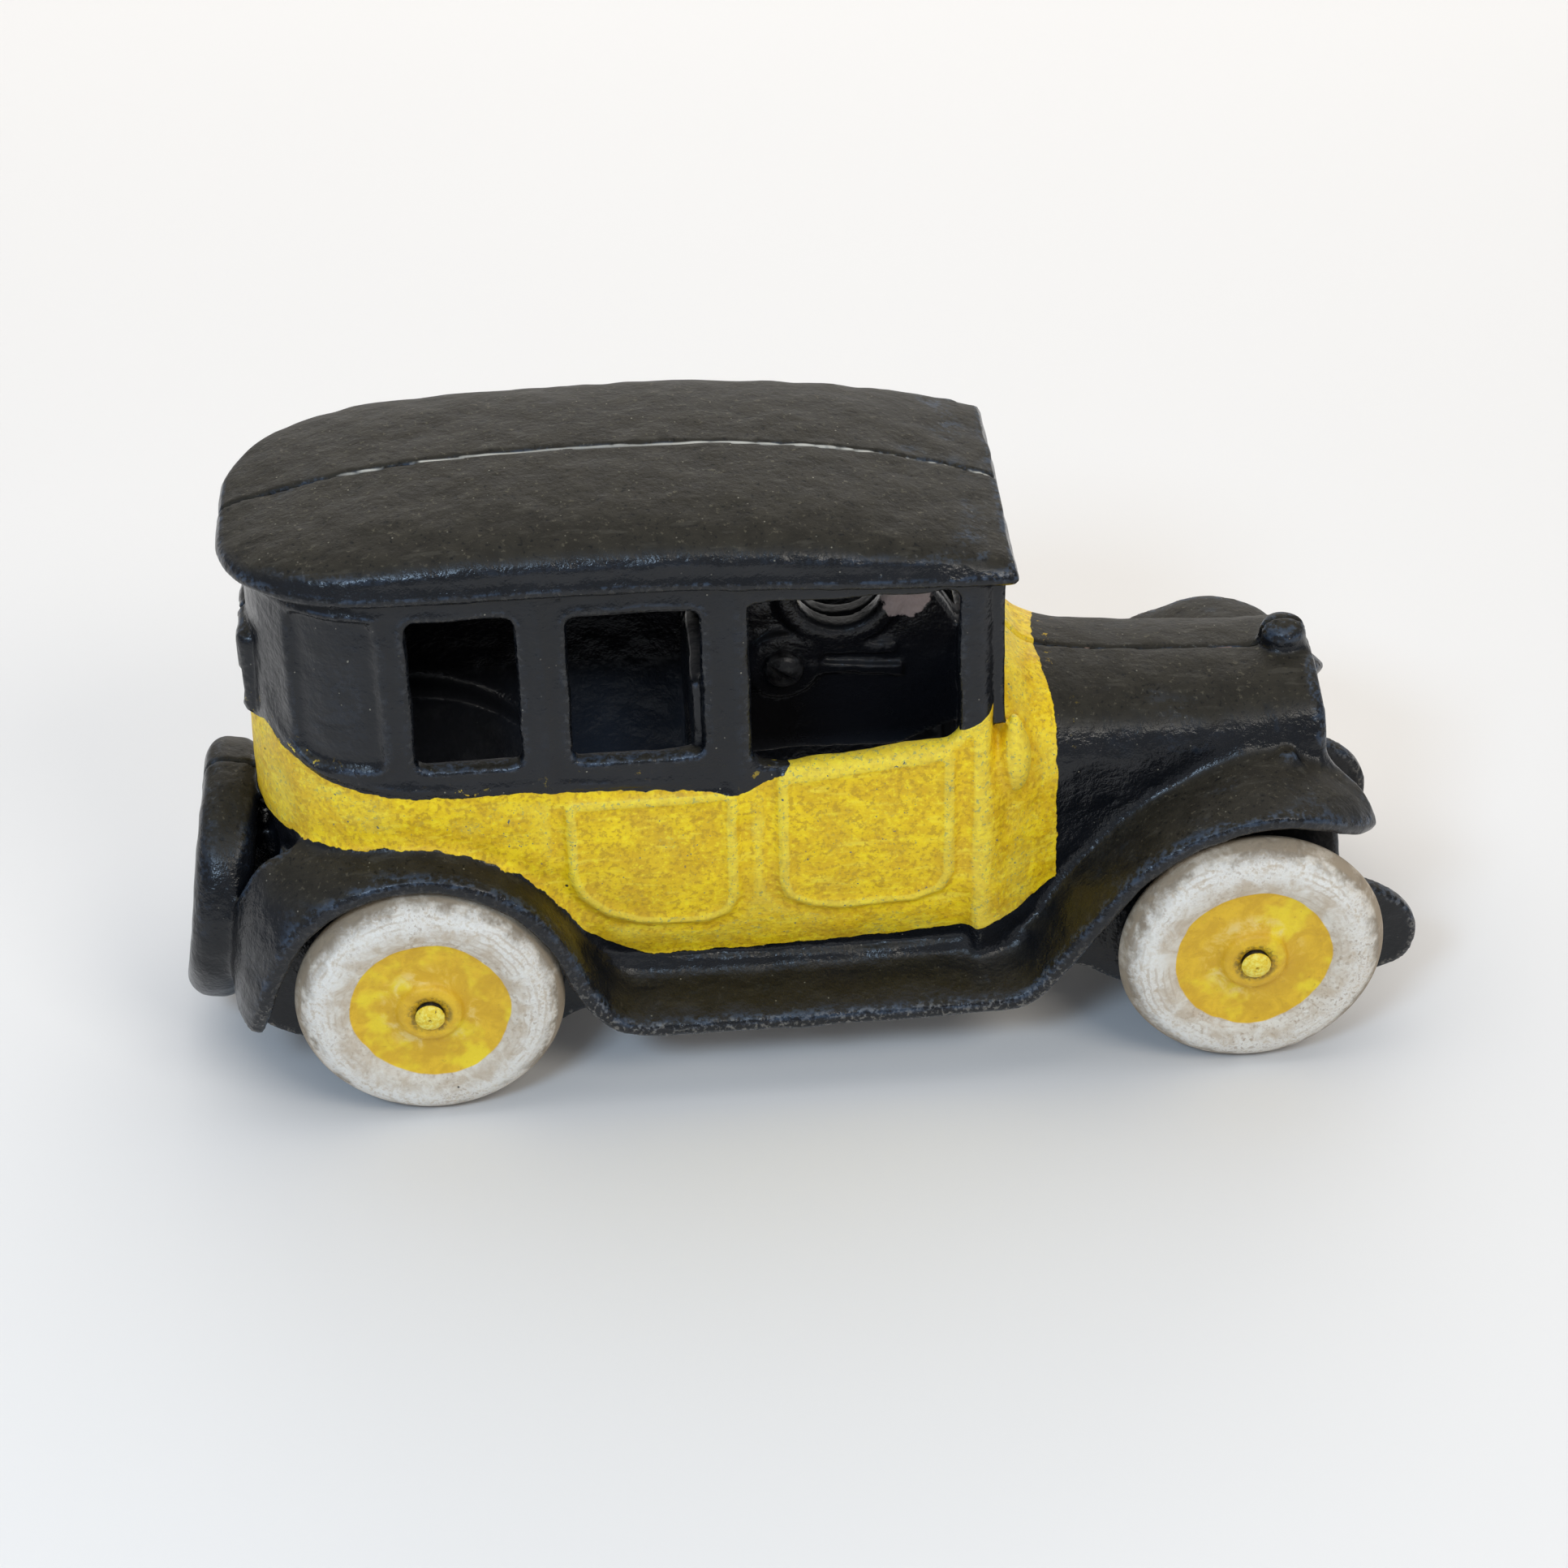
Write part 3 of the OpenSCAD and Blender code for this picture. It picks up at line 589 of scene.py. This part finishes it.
def roof_rings():
    xs = np.concatenate([
        ROOF_REAR_X + 0.15 + 29.45 * (np.arange(26) / 26) ** 1.8, np.arange(-60, 33.5, 2.0), [34.6]])
    out = []
    for x in xs:
        w = float(roof_w(x))
        f = min(1.0, w / ROOF_HALF_W)
        h = 1.6 + (float(ridge(x)) - float(drip(x)) - 1.6) * f ** 0.42
        g = SOFT
        at = max(x, ROOF_REAR_X + g) if x < -60 else min(x, ROOF_FRONT_X - g)
        out.append(roof_ring(x, max(w - g, 0.2), float(drip(x)) + g, max(h - 2 * g, 0.3), 0.8, at))
    return out


def inside_w(x):
    """Half width of the cab's inside at its top."""
    w = HALF_W - WALL - 1.8
    return w * np.clip(1 - (np.maximum(CAB_CORNER_X - x, 0) / 22.6) ** 2.15, 0.001, 1) ** (1 / 2.15)


def roof_inner_rings():
    out = []
    for x in np.concatenate([np.arange(-84, -60, 1.5), np.arange(-60, 31.4, 3.0), [31.4]]):
        w = float(inside_w(x))
        h = float(ridge(x)) - WALL - ROOF_IN_Z - (max(0, -78 - x) * 0.4)
        out.append(roof_ring(x, w, ROOF_IN_Z, h, 1.6))
    return out


# cowl and hood along the car: half width and height
hood_w = eased([
    (29.7, 26.3), (32.5, 25.5), (35.5, 23.8), (38.3, 22), (42.5, 20.3), (49, 19.2), (66, 18.2), (86.6, 17)], 1.5)
hood_z = eased([(29.7, 69.3), (35.5, 68.9), (38.3, 65.2), (42.5, 63.4), (50, 62.2), (66, 61.2), (86.6, 60.3)], 1.2)
HOOD_FRONT_X = 86.6


def hood_ring(x, g, low, at=None):
    w = float(hood_w(x)) + g
    top = float(hood_z(x)) + g
    c = crown(w, top - 47, 2.7, 36)
    arc = np.stack([c[:, 0], 47 + c[:, 1]], -1)
    pts = np.concatenate([[[EDGE_Y, low], [w - 1, low], [w, low + 6]], arc, [[EDGE_Y, top]]])
    return np.column_stack([np.full(len(pts), x if at is None else at), pts])


def radiator_rings():
    out = []
    g = SOFT
    for at, grow in ((79.6 + g, -0.2), (80.4 + g, 0.5), (86.9 - g, 0.6), (87.6 - g, 0.0)):
        w, top = 17 + grow - g, 60.5 + grow - g
        c = crown(w, top - 46, 2.7, 36)
        arc = np.stack([c[:, 0], 46 + c[:, 1]], -1)
        pts = np.concatenate([[[EDGE_Y, 24 + g], [w - 1, 24 + g]], arc, [[EDGE_Y, top]]])
        out.append(np.column_stack([at + (61 - pts[:, 1]) * 0.05, pts]))
    return out


FENDER_Y = 34.6        # outer edge of fenders and running board
PLATE_Y = 21.8         # middle of the frame plate that they grow from
AX, AZ = -62.2, 22.0   # centre and radius of the rear wheel arch
AR = 22 + 1.2 + 1.4


def arch_point(degrees):
    a = math.radians(degrees)
    return [AX + AR * math.cos(a), AZ + AR * math.sin(a)]


def arch(degrees, inner):
    x, z = arch_point(degrees)
    return [x, FENDER_Y, z, *inner]


# each station is one point on the strip's outer edge and one on its inner edge
stations = [
    [-90.2, 31.8, 17.4, -92.6, PLATE_Y, 18.8], [-88, 34.2, 23.6, -92.8, PLATE_Y, 26],
    arch(153, (-90.8, PLATE_Y, 36.4)), arch(135, (-85, PLATE_Y, 44)), arch(113, (-75, PLATE_Y, 46.4)),
    arch(90, (-63.5, PLATE_Y, 46.6)), arch(68, (-54, PLATE_Y, 43.8)), arch(46, (-46.5, PLATE_Y, 38.6)),
    arch(25, (-40.6, PLATE_Y, 31.6)), [-36.3, FENDER_Y, 22.4, -36.3, PLATE_Y, 23],
    [-31, FENDER_Y, 14.4, -31.5, PLATE_Y, 16.2], [-22, FENDER_Y, 13.9, -22, PLATE_Y, 15.9],
    [28, FENDER_Y, 14.5, 28, PLATE_Y, 16.3], [37, FENDER_Y, 15, 37, PLATE_Y, 17.2],
    [42.5, FENDER_Y, 22.4, 42, 17, 23], [49.4, FENDER_Y, 31.8, 49, 15, 32], [56, FENDER_Y, 40, 58, 15, 39.6],
    [64.4, FENDER_Y, 45.6, 66, 15, 44.8], [74.8, FENDER_Y, 48.6, 76, 15, 49.2],
    [82.4, 34.2, 47.6, 84.6, 15.6, 46.8], [89.5, 30.2, 42.8, 89.2, 16.6, 44.6],
    [94.8, 24.6, 39.2, 91.6, 17.4, 42.6]]


def fender_rings():
    """Rings of the fender strip's core, and how much its surface is rounded outwards from it."""
    line = corner_cut(corner_cut(corner_cut(stations)))
    g = 0.95
    rings = []
    share = np.linspace(0, 1, 15)
    rise = 0.3 + 0.55 * np.clip(np.sin(np.pi * share), 0, 1) ** 0.8 - 0.35 * share ** 6
    for i, p in enumerate(line):
        q, r = line[min(i + 1, len(line) - 1)], line[max(i - 1, 0)]
        d = np.array([q[0] - r[0], q[2] - r[2]])
        nrm = np.array([-d[1], 0, d[0]]) / np.linalg.norm(d)
        outer, inner = p[:3].copy(), p[3:]
        span = outer - inner
        outer = outer - span / np.linalg.norm(span) * g
        t = 1.4 - g
        top = [inner + (outer - inner) * s + nrm * (k + t) for s, k in zip(share, rise)]
        bottom = [inner + (outer - inner) * s + nrm * (k - t) for s, k in zip(share, rise)]
        rings.append(np.array(bottom + top[::-1]))
    # both ends are pulled back so that they round off at their full length
    for end, nxt in ((0, 1), (-1, -2)):
        d = rings[nxt].mean(0) - rings[end].mean(0)
        rings[end] = rings[end] + d / np.linalg.norm(d) * min(g, np.linalg.norm(d) * 0.6)
    return rings, g


plate_pts = corner_cut(corner_cut([
    [-92, 21], [-91, 12], [-83, 8], [-61.6, 5.2], [-42, 8], [-35, 12], [-28, 14.6], [38, 14.8], [47, 14],
    [55, 8.6], [74, 5.2], [92, 7.4], [102.5, 9.6], [104.2, 17.6], [101, 23.4], [91, 28.6], [86, 34], [60, 34],
    [48, 26], [36, 20], [-33, 20], [-45, 28], [-78, 28], [-88, 26]]))

# where the yellow stops, along the car
belt_line = eased([
    (-90, 71), (-84.5, 70), (-82, 65.5), (-75.4, 61.1), (-65.3, 59.1), (-55, 58.2), (-44.6, 58.4), (-36.9, 58.1),
    (-23.9, 57.5), (-13.5, 56.8), (-9.4, 55.7), (-4.5, 58.2), (-1.6, 59.6), (-0.6, 61.4), (10, 62.6),
    (24, 64.2), (26.4, 64.8), (31.1, 67.0), (33.0, 72), (36, 90)], 0.5)
sill_line = eased([
    (-90, 47), (-82.6, 47.9), (-76.6, 48.7), (-66, 48.6), (-55.9, 46.2), (-45.7, 40.6), (-38.2, 32.9),
    (-33.2, 26.4), (-25.3, 21.2), (-11.7, 21.5), (15.5, 22.7), (29.1, 24.8), (37.3, 27.2), (43, 31)], 1.0)
COWL_PAINT_X = 41.2    # the yellow ends here on the hood

cab = field([cab_ring(z, -SOFT) for z in np.linspace(18, 95.8, 60)]) - SOFT
cab_in = field([cab_ring(z, -WALL) for z in np.linspace(10, 96, 44)])
roof = field(roof_rings()) - SOFT
roof_edge = gz - drip(gx)
rolled_edge = 0.42 * bell(roof_edge - 1.1, 0.95) - 0.22 * bell(roof_edge - 3.3, 0.9)
roof = roof - rolled_edge.astype(np.float32)
roof_in = field(roof_inner_rings())
hood_x = np.concatenate([np.arange(29.7, 44, 1.0), np.arange(44, HOOD_FRONT_X, 3.0), [HOOD_FRONT_X]])
hood = field([hood_ring(x, -SOFT, 19 + SOFT, min(x, HOOD_FRONT_X - SOFT)) for x in hood_x]) - SOFT
hood_in_x = np.concatenate([np.arange(29.6, 44, 1.5), np.arange(44, 83, 4.0), [83.4]])
hood_in = field([hood_ring(x, -WALL, 12) for x in hood_in_x])
radiator = field(radiator_rings()) - SOFT
fender_r, fender_round = fender_rings()
fender = field(fender_r) - fender_round

# relief on the cab's side: doors, posts, belt and the panel behind the rear window


def door_relief(d):
    return 0.62 * bell(d + 1.1, 1.0) + 0.32 * step01(-d, -0.3, 1.2) - 0.22 * bell(d - 1.1, 1.0)


front_door = poly([
    (-3.6, 59.2), (-3.8, 38), (-2.8, 34), (1.5, 31.4), (7, 30.6), (19, 31.4), (23.6, 33.6), (25.4, 37.5),
    (25.4, 62.4)], 2.2)
rear_door = poly([
    (-37.8, 56.6), (-37.9, 41), (-36.4, 36.4), (-32, 32), (-26.5, 29.6), (-15.5, 29.2), (-11.4, 31.2),
    (-9.8, 35), (-9.8, 57.0)], 2.2)
side_panel = rounded_box(-79.6, -64.8, 63.4, 92.0, 3.2)
relief = door_relief(front_door) + door_relief(rear_door)
sunk_panel = np.where(side_panel < 0, -0.75 * step01(-side_panel, 0.0, 1.6), 0)
relief = relief + sunk_panel + 0.40 * bell(side_panel - 0.2, 1.1)
for post_x, z_low in ((-40.0, 58.5), (-9.0, 50.0)):
    relief = relief + 0.62 * bell(gx - post_x, 1.5) * step01(gz, z_low, z_low + 3)
relief = relief - 0.45 * bell(gx - 27.4, 0.9) * step01(gz, 36, 42) * step01(-gz, -66, -62)
bl = belt_line(gx[:, 0, 0])[:, None, None]
relief = relief + 0.38 * bell(gz - bl - 1.3, 0.9) * step01(-gx, 8, 12) * step01(gx, -86, -80)
for x0, x1 in ((-60.5, -43.7), (-35.5, -14.7)):
    relief = relief + 0.28 * bell(rounded_box(x0, x1, 63.7, 90.3, 2.4) - 0.9, 0.8)
relief = relief + 0.4 * bell(gz - drip(gx) + 3.2, 0.6) * step01(-gx, 60, 66)
relief = relief.astype(np.float32)
cab = cab - relief * step01(gy, 12, 17)

# radiator front: a proud rim round upright fins
radiator_edge = bell(gx + (gz - 61) * 0.05 - 79.4, 1.3)
hood_boss = block((79.6, 14.5, 44.5), (82.4, 20.2, 51.5), 1.0)
grille = np.maximum(gy - 12.6, np.maximum(gz - 56.2 + (np.maximum(gy, 0) / 13) ** 4 * 3.5, 28.5 - gz))
fins = 0.5 + 0.5 * np.cos(gy * 2 * math.pi / 2.1)
radiator = radiator + step01(gx, 84.6, 85.2) * step01(-grille, -0.3, 0.5) * (1.05 - 0.7 * fins)

outer = smin(cab, hood - 0.25 * radiator_edge.astype(np.float32), 3.4)
outer = smin(outer, roof, 0.7)
outer = smin(outer, radiator, 0.7)
cap_r = np.hypot(gx - 83.0, gy)
cap = smax(cap_r - 3.9, gz - 65.9 + 0.10 * cap_r ** 2, 1.6)
cap = np.maximum(cap, 56 - gz)
inner = np.minimum(np.minimum(cab_in, roof_in), hood_in)
shell = smax(outer, -inner, 0.8)
del cab_in, roof_in, hood_in

# windows, their edges softened by the paint
openings = np.minimum(rounded_box(-60.5, -43.7, 63.7, 90.3, 1.6), rounded_box(-35.5, -14.7, 63.7, 89.8, 1.6))
front_window = poly([
    (-7.1, 90.6), (-7.1, 62.6), (-5.6, 60.9), (-1, 60.3), (24.2, 62.9), (26.2, 64.4), (26.2, 90.4)], 1.5)
openings = np.minimum(openings, front_window)
openings = np.maximum(openings, 13 - gy)
screen_open = block((25.5, -30, 70.5), (45, 22, 90), 1.5)
back_open = block((-100, -30, 66), (-80, 8.5, 79), 1.5)
openings = np.minimum(np.minimum(openings, screen_open), back_open)
shell = smax(shell, -openings, 1.0)
well = np.maximum(np.hypot(gx - AX, gz - AZ) - AR, 23.3 - gy)
shell = smax(shell, -well, 0.6)

# spare wheel, leaning back, dished on both faces with a hub
SPARE_X, SPARE_Z = -95.9, 28.4
SPARE_R, SPARE_HALF_T, SPARE_ROUND = 22, 4.75, 3.7
SPARE_LEAN = math.radians(9.5)
spare_c, spare_s = math.cos(SPARE_LEAN), math.sin(SPARE_LEAN)
su = (gx - SPARE_X) * spare_c - (gz - SPARE_Z) * spare_s
sv = (gx - SPARE_X) * spare_s + (gz - SPARE_Z) * spare_c
sr = np.sqrt(sv ** 2 + gy ** 2)
qa, qb = sr - (SPARE_R - SPARE_ROUND), np.abs(su) - (SPARE_HALF_T - SPARE_ROUND)
spare = np.hypot(np.maximum(qa, 0), np.maximum(qb, 0)) + np.minimum(np.maximum(qa, qb), 0) - SPARE_ROUND
dish = np.maximum(sr - 13.2, SPARE_HALF_T - 1.7 - np.abs(su))
spare = smax(spare, -dish, 0.8)
hub = smax(sr - 4.6, np.abs(su) - 4.3, 1.0)
spare = smin(spare, hub, 1.0)

# frame plate, and the walls between it and the fenders
plate = poly(plate_pts)
rear_wall = poly([[-31, 17]] + [arch_point(a) for a in np.linspace(10, 146, 18)] + [[-86, 22], [-80, 17]])
front_wall = poly([
    [86, 22], [90, 32], [88.4, 43.6], [77, 47], [66, 45], [58, 40], [49, 31.6], [40, 19.5], [38, 16]])
sides = np.minimum(np.minimum(plate, rear_wall), front_wall)
slab = np.abs(gy - PLATE_Y) - 1.5
frame_side = smax(sides, slab, 0.9)

iron = smin(smin(shell, hood_boss, 0.8), frame_side, 1.6)
iron = smin(iron, fender, 3.2)

# inside the cab: the notched web, the screw's lug, two ridges and the cross ribs
lug_r = np.hypot(gx - SCREW_X, gz - SCREW_Z)
web = poly(corner_cut([
    [-17, 47], [-17, 80], [-6, 83], [0, 83], [20, 83], [25, 76], [31, 66], [31, 47], [-17, 47]])[:-1])
notch = np.minimum(np.hypot(gx - 9, gz - 78.6) - 7.8, np.maximum(np.abs(gx - 9) - 6.6, 79 - gz))
web2 = smax(web, -notch, 2.0)
web3 = smax(web2, gy - 2.8, 0.8)
rim_bead = np.hypot(np.maximum(np.abs(notch - 1.4) - 0.3, 0), np.maximum(gy - 2.6, 0)) - 1.7
web3 = smin(web3, np.maximum(np.maximum(rim_bead, gz - 82.5), web), 0.8)
lug = smax(lug_r - 6.2, gy - 4.2, 1.0)
tilt = (gx - 4) * 0.105
rib_a = np.maximum(np.maximum(np.abs(gx - 11.5) - 7.5, gy - 4.0), np.abs(gz + tilt - 63.8) - 0.9)
rib_b = np.maximum(np.maximum(np.abs(gx - 11.0) - 7.0, gy - 3.8), np.abs(gz + 0.4 * tilt - 67.2) - 0.8)
back_rib = block((-16.3, -3, 26), (-13.3, 25, 76), 0.6)
front_rib = block((28.8, -3, 22), (31.8, 23, 65), 0.6)
inside_parts = smin(web3, lug, 1.2)
inside_parts = smin(inside_parts, np.minimum(rib_a, rib_b), 1.2)
inside_parts = np.minimum(inside_parts, np.minimum(back_rib, front_rib))
inside_parts = np.maximum(inside_parts, outer + 0.6)
iron = smin(iron, inside_parts, 0.8)

# cowl lamp, windscreen frame, radiator cap, rear window rim, spare's bracket and the tail's wall
lamp_w = 2.9 - 0.9 * step01(gz, 58, 65)
lamp = np.sqrt(((gx - 35.3) / lamp_w) ** 2 + ((gy - 23.4) / 3.2) ** 2 + ((gz - 57.6) / 7.4) ** 2)
lamp = (lamp - 1) * 2.6
iron = smin(iron, lamp, 0.8)
screen_post = np.minimum(
    block((30.5, 21.4, 64), (33.6, 24.4, 92.6), 0.6), block((30.5, -3, 89.5), (32.9, 24, 93.5), 0.6))
iron = smin(iron, screen_post, 0.5)
iron = smin(iron, cap, 1.4)
rear_rim = np.maximum(
    block((-88.5, -12, 64.6), (-84.6, 9.9, 80.4), 1.9), -block((-100, -20, 66.2), (-80, 8.4, 78.8), 1.6))
iron = smin(iron, rear_rim, 0.6)
bracket = block((-93.6, -3, 24), (-80, 7, 40), 1.0)
iron = smin(iron, bracket, 1.5)
apron = np.maximum(poly([(-91, 13), (-88, 12), (-81.6, 38), (-84.6, 42)], 0.4), gy - PLATE_Y)
iron = smin(iron, apron, 1.0)
iron = smin(iron, spare, 1.8)
for wheel_x in WHEEL_X.values():
    iron = smax(iron, -(np.hypot(gx - wheel_x, gz - WHEEL_Z) - AXLE_HOLE_R), 0.5)
iron = iron.astype(np.float32)
soft_near = blur(iron, 1.1) - iron
soft_far = blur(iron, 3.3) - iron


def sample(a, p):
    """Trilinear value of a field at points in mm."""
    q = p / VOXEL - FIRST
    q = np.clip(q, 0, CELLS - 1.001)
    i = q.astype(int)
    f = q - i
    out = 0
    for corner in np.ndindex(2, 2, 2):
        share = np.where(corner, f, 1 - f)
        w = share[:, 0] * share[:, 1] * share[:, 2]
        out = out + w * a[tuple((i + corner).T)]
    return out


def set_attribute(mesh, name, values):
    layer = mesh.attributes.new(name, "FLOAT", "POINT")
    layer.data.foreach_set("value", np.ascontiguousarray(values, np.float32))


def new_mesh(name, points, faces):
    """Object in metres from arrays of points in mm and of faces, kept inside the CAD's box."""
    points = np.clip(points, np.array(cad_lo) * 1000, np.array(cad_hi) * 1000)
    mesh = bpy.data.meshes.new(name)
    mesh.from_pydata((points / 1000).tolist(), [], faces.tolist())
    mesh.validate()
    mesh.update()
    mesh.shade_smooth()
    obj = bpy.data.objects.new(name, mesh)
    scene.collection.objects.link(obj)
    return obj


def face_outwards(obj):
    """Turns a closed mesh right side out."""
    bm = bmesh.new()
    bm.from_mesh(obj.data)
    if bm.calc_volume(signed=True) < 0:
        bmesh.ops.reverse_faces(bm, faces=bm.faces)
        bm.to_mesh(obj.data)
    bm.free()


def body_half(name, side, seed, drop, paint):
    """One casting: side is -1 for the right half and 1 for the left, and drop lowers its roof."""
    rough = 0.085 * lumps(2.2, seed) + 0.05 * lumps(1.0, seed + 50)
    if side < 0:
        bored = np.maximum(lug_r - SCREW_HOLE_R, -gy - 9)
        solid = smax(iron, -bored, 0.3)
    else:
        solid = iron
    solid = solid - rough
    solid = smax(solid, 0.04 - gy, 0.45).astype(np.float32)
    for axis in range(3):
        np.moveaxis(solid, axis, 0)[[0, -1]] = EMPTY
    grid = vdb.FloatGrid(background=EMPTY)
    grid.copyFromArray(np.ascontiguousarray(solid), ijk=tuple(int(v) for v in FIRST), tolerance=0.0)
    grid.transform = FRAME_SCALE
    points, quads = grid.convertToQuads(isovalue=0.0)
    points = np.asarray(points, float)
    quads = np.asarray(quads)
    p = points.copy()
    fen, spr, out_v = (sample(a, p) for a in (fender, spare, outer))
    eps = 0.6
    steps = np.eye(3) * eps
    grad = np.stack([sample(iron, p + d) - sample(iron, p - d) for d in steps], -1)
    grad /= np.maximum(np.linalg.norm(grad, axis=1), 1e-6)[:, None]
    x, y, z = p.T
    back_dip = 6.0 * step01(-y, -25, -6) * step01(-x, 70, 88)
    yel = np.minimum.reduce([
        belt_line(x) - back_dip - z, z - sill_line(x), fen - 0.9, spr - 0.8,
        COWL_PAINT_X + 1.7 * step01(y, 0, 18) - x, np.clip(out_v + 2.3, -3, 3) * 3,
        sample(screen_post, p) - 0.35])
    inner_side = step01(-out_v, 1.6, 2.6)
    points[:, 1] *= side
    if side < 0:
        points[:, 2] -= drop * step01(z, 84, 95)
        quads = quads[:, ::-1]
    obj = new_mesh(name, points, quads)
    mesh = obj.data
    if len(mesh.vertices) != len(points):
        raise RuntimeError("the casting's mesh lost vertices")
    set_attribute(mesh, "yel", yel)
    set_attribute(mesh, "edge", sample(soft_near, p))
    set_attribute(mesh, "hollow", -sample(soft_far, p))
    set_attribute(mesh, "facing_up", grad[:, 2])
    set_attribute(mesh, "inside", inner_side)
    set_attribute(mesh, "height", z)
    near_middle = step01(-y, -2.5, -1.6) * step01(out_v, -1.0, -0.5)
    set_attribute(mesh, "seam", near_middle * step01(z, 90, 96) * step01(x, -72, -66))
    set_attribute(mesh, "hood_seam", near_middle * step01(-z, -70, -66) * step01(z, 55, 58) * step01(x, 40, 44))
    chip = 3.4 - np.hypot((x - 20.0) * 0.9, z - 75.6) - 3 * step01(y, 4.5, 6)
    set_attribute(mesh, "chip", np.where(side < 0, chip, -9.0))
    mesh.materials.append(paint)
    face_outwards(obj)
    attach(obj, "body")
    return obj


enamel = body_paint()
right_half = body_half("right_body_casting", -1, 11, 0.25, enamel)
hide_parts("right_body_half")
left_half = body_half("left_body_casting", 1, 23, 0.0, enamel)
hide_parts("left_body_half")


# ---------------------------------------------------------------- wheels and axles, turned shapes
def turned(name, profile, x, z, side, segments, wobble, seed):
    """Lathe a profile of (radius, distance outwards) about the axle, with a little cast unevenness."""
    rng = np.random.default_rng(seed)
    ang = np.linspace(0, 2 * math.pi, segments, endpoint=False)
    waves = sum(rng.normal(0, 1) * np.cos(k * ang + rng.uniform(0, 6.28)) / k for k in range(2, 9))
    pts, n = [], len(profile)
    radius, out = profile.T
    for a, wave in zip(ang, waves):
        r = radius + wobble * wave * step01(radius, 4, 14)
        y = out + wobble * wave * step01(radius, 6, 14) * 0.6
        pts.append(np.stack([x + r * math.cos(a), side * y, z + r * math.sin(a)], -1))
    pts = np.concatenate(pts)
    i, j = np.meshgrid(np.arange(segments), np.arange(n), indexing="ij")
    i2, j2 = (i + 1) % segments, (j + 1) % n
    quads = np.stack([i * n + j, i * n + j2, i2 * n + j2, i2 * n + j], -1).reshape(-1, 4)
    obj = new_mesh(name, pts, quads)
    face_outwards(obj)
    return obj


def bend(points, steps=4):
    """Rounds the corners of a closed profile."""
    p = np.array(points, float)
    for _ in range(steps):
        q = np.roll(p, -1, 0)
        p = np.stack([p * 0.78 + q * 0.22, p * 0.22 + q * 0.78], 1).reshape(-1, 2)
    return p


wheel_mat = wheel_paint()
FACE = 36.2            # the tyre's outer face, from the middle of the car
wheel_profile = bend([(r, FACE + out) for r, out in (
    (2.1, -0.5), (2.5, -0.1), (3.3, 0.25), (4.2, 0.38), (5.1, 0.05), (5.8, -1.1), (7.5, -1.5), (10.5, -1.55),
    (12.6, -1.2), (13.6, -0.75), (14.6, -0.25), (16.0, -0.1), (17.6, -0.12), (19.2, -0.6), (20.8, -1.9),
    (21.8, -3.4), (22.12, -4.25), (21.8, -5.2), (20.8, -6.8), (19.0, -8.1), (17.4, -8.5), (14.0, -8.5),
    (13.0, -8.0), (12.4, -6.5), (6.2, -6.5), (5.3, -8.0), (5.0, -12.3), (4.6, -12.55), (2.1, -12.55),
    (2.1, -6))], 3)
for end, x in WHEEL_X.items():
    for label, side in (("right", -1), ("left", 1)):
        node = f"{end}_{label}_wheel"
        seed = 100 + len(node) + int(x)
        obj = turned(node.replace("wheel", "disc_wheel"), wheel_profile, x, WHEEL_Z, side, 200, 0.05, seed)
        co = np.empty(len(obj.data.vertices) * 3)
        obj.data.vertices.foreach_get("co", co)
        co = co.reshape(-1, 3) * 1000
        rad = np.hypot(co[:, 0] - x, co[:, 2] - WHEEL_Z)
        depth = FACE - np.abs(co[:, 1])
        set_attribute(obj.data, "rad", rad)
        set_attribute(obj.data, "tread", step01(rad, 20.0, 21.4) * step01(depth, 1.2, 3.0))
        set_attribute(obj.data, "outer_face", step01(-depth, -5, -4))
        obj.data.materials.append(wheel_mat)
        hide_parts(node)
        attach(obj, node)

axle_mat = axle_steel()
HEAD = FACE + 0.7      # where the peened head starts
half_axle = [(r, HEAD + out) for r, out in (
    (0.02, 1.28), (0.9, 1.2), (1.6, 1.0), (2.15, 0.62), (2.45, 0.25), (2.4, 0.02), (2.02, 0), (2.0, -0.3))]
axle_profile = bend(half_axle + [(r, -y) for r, y in half_axle[::-1]], 2)
for end, x in WHEEL_X.items():
    obj = turned(end + "_axle_rod", axle_profile, x, WHEEL_Z, 1, 64, 0.0, 7)
    obj.data.materials.append(axle_mat)
    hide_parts(end + "_axle")
    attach(obj, end + "_axle")

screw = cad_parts["body_screw"]
screw.data.materials.clear()
screw.data.materials.append(screw_steel())

# ---------------------------------------------------------------- floor
bpy.ops.mesh.primitive_grid_add(x_subdivisions=40, y_subdivisions=40, size=6.0, location=(0, 0, 0))
floor = bpy.context.object
floor.name = "floor"
floor.location.z = min(0.0, float(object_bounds()[0][2])) - 0.0002
floor.data.materials.append(floor_paper())
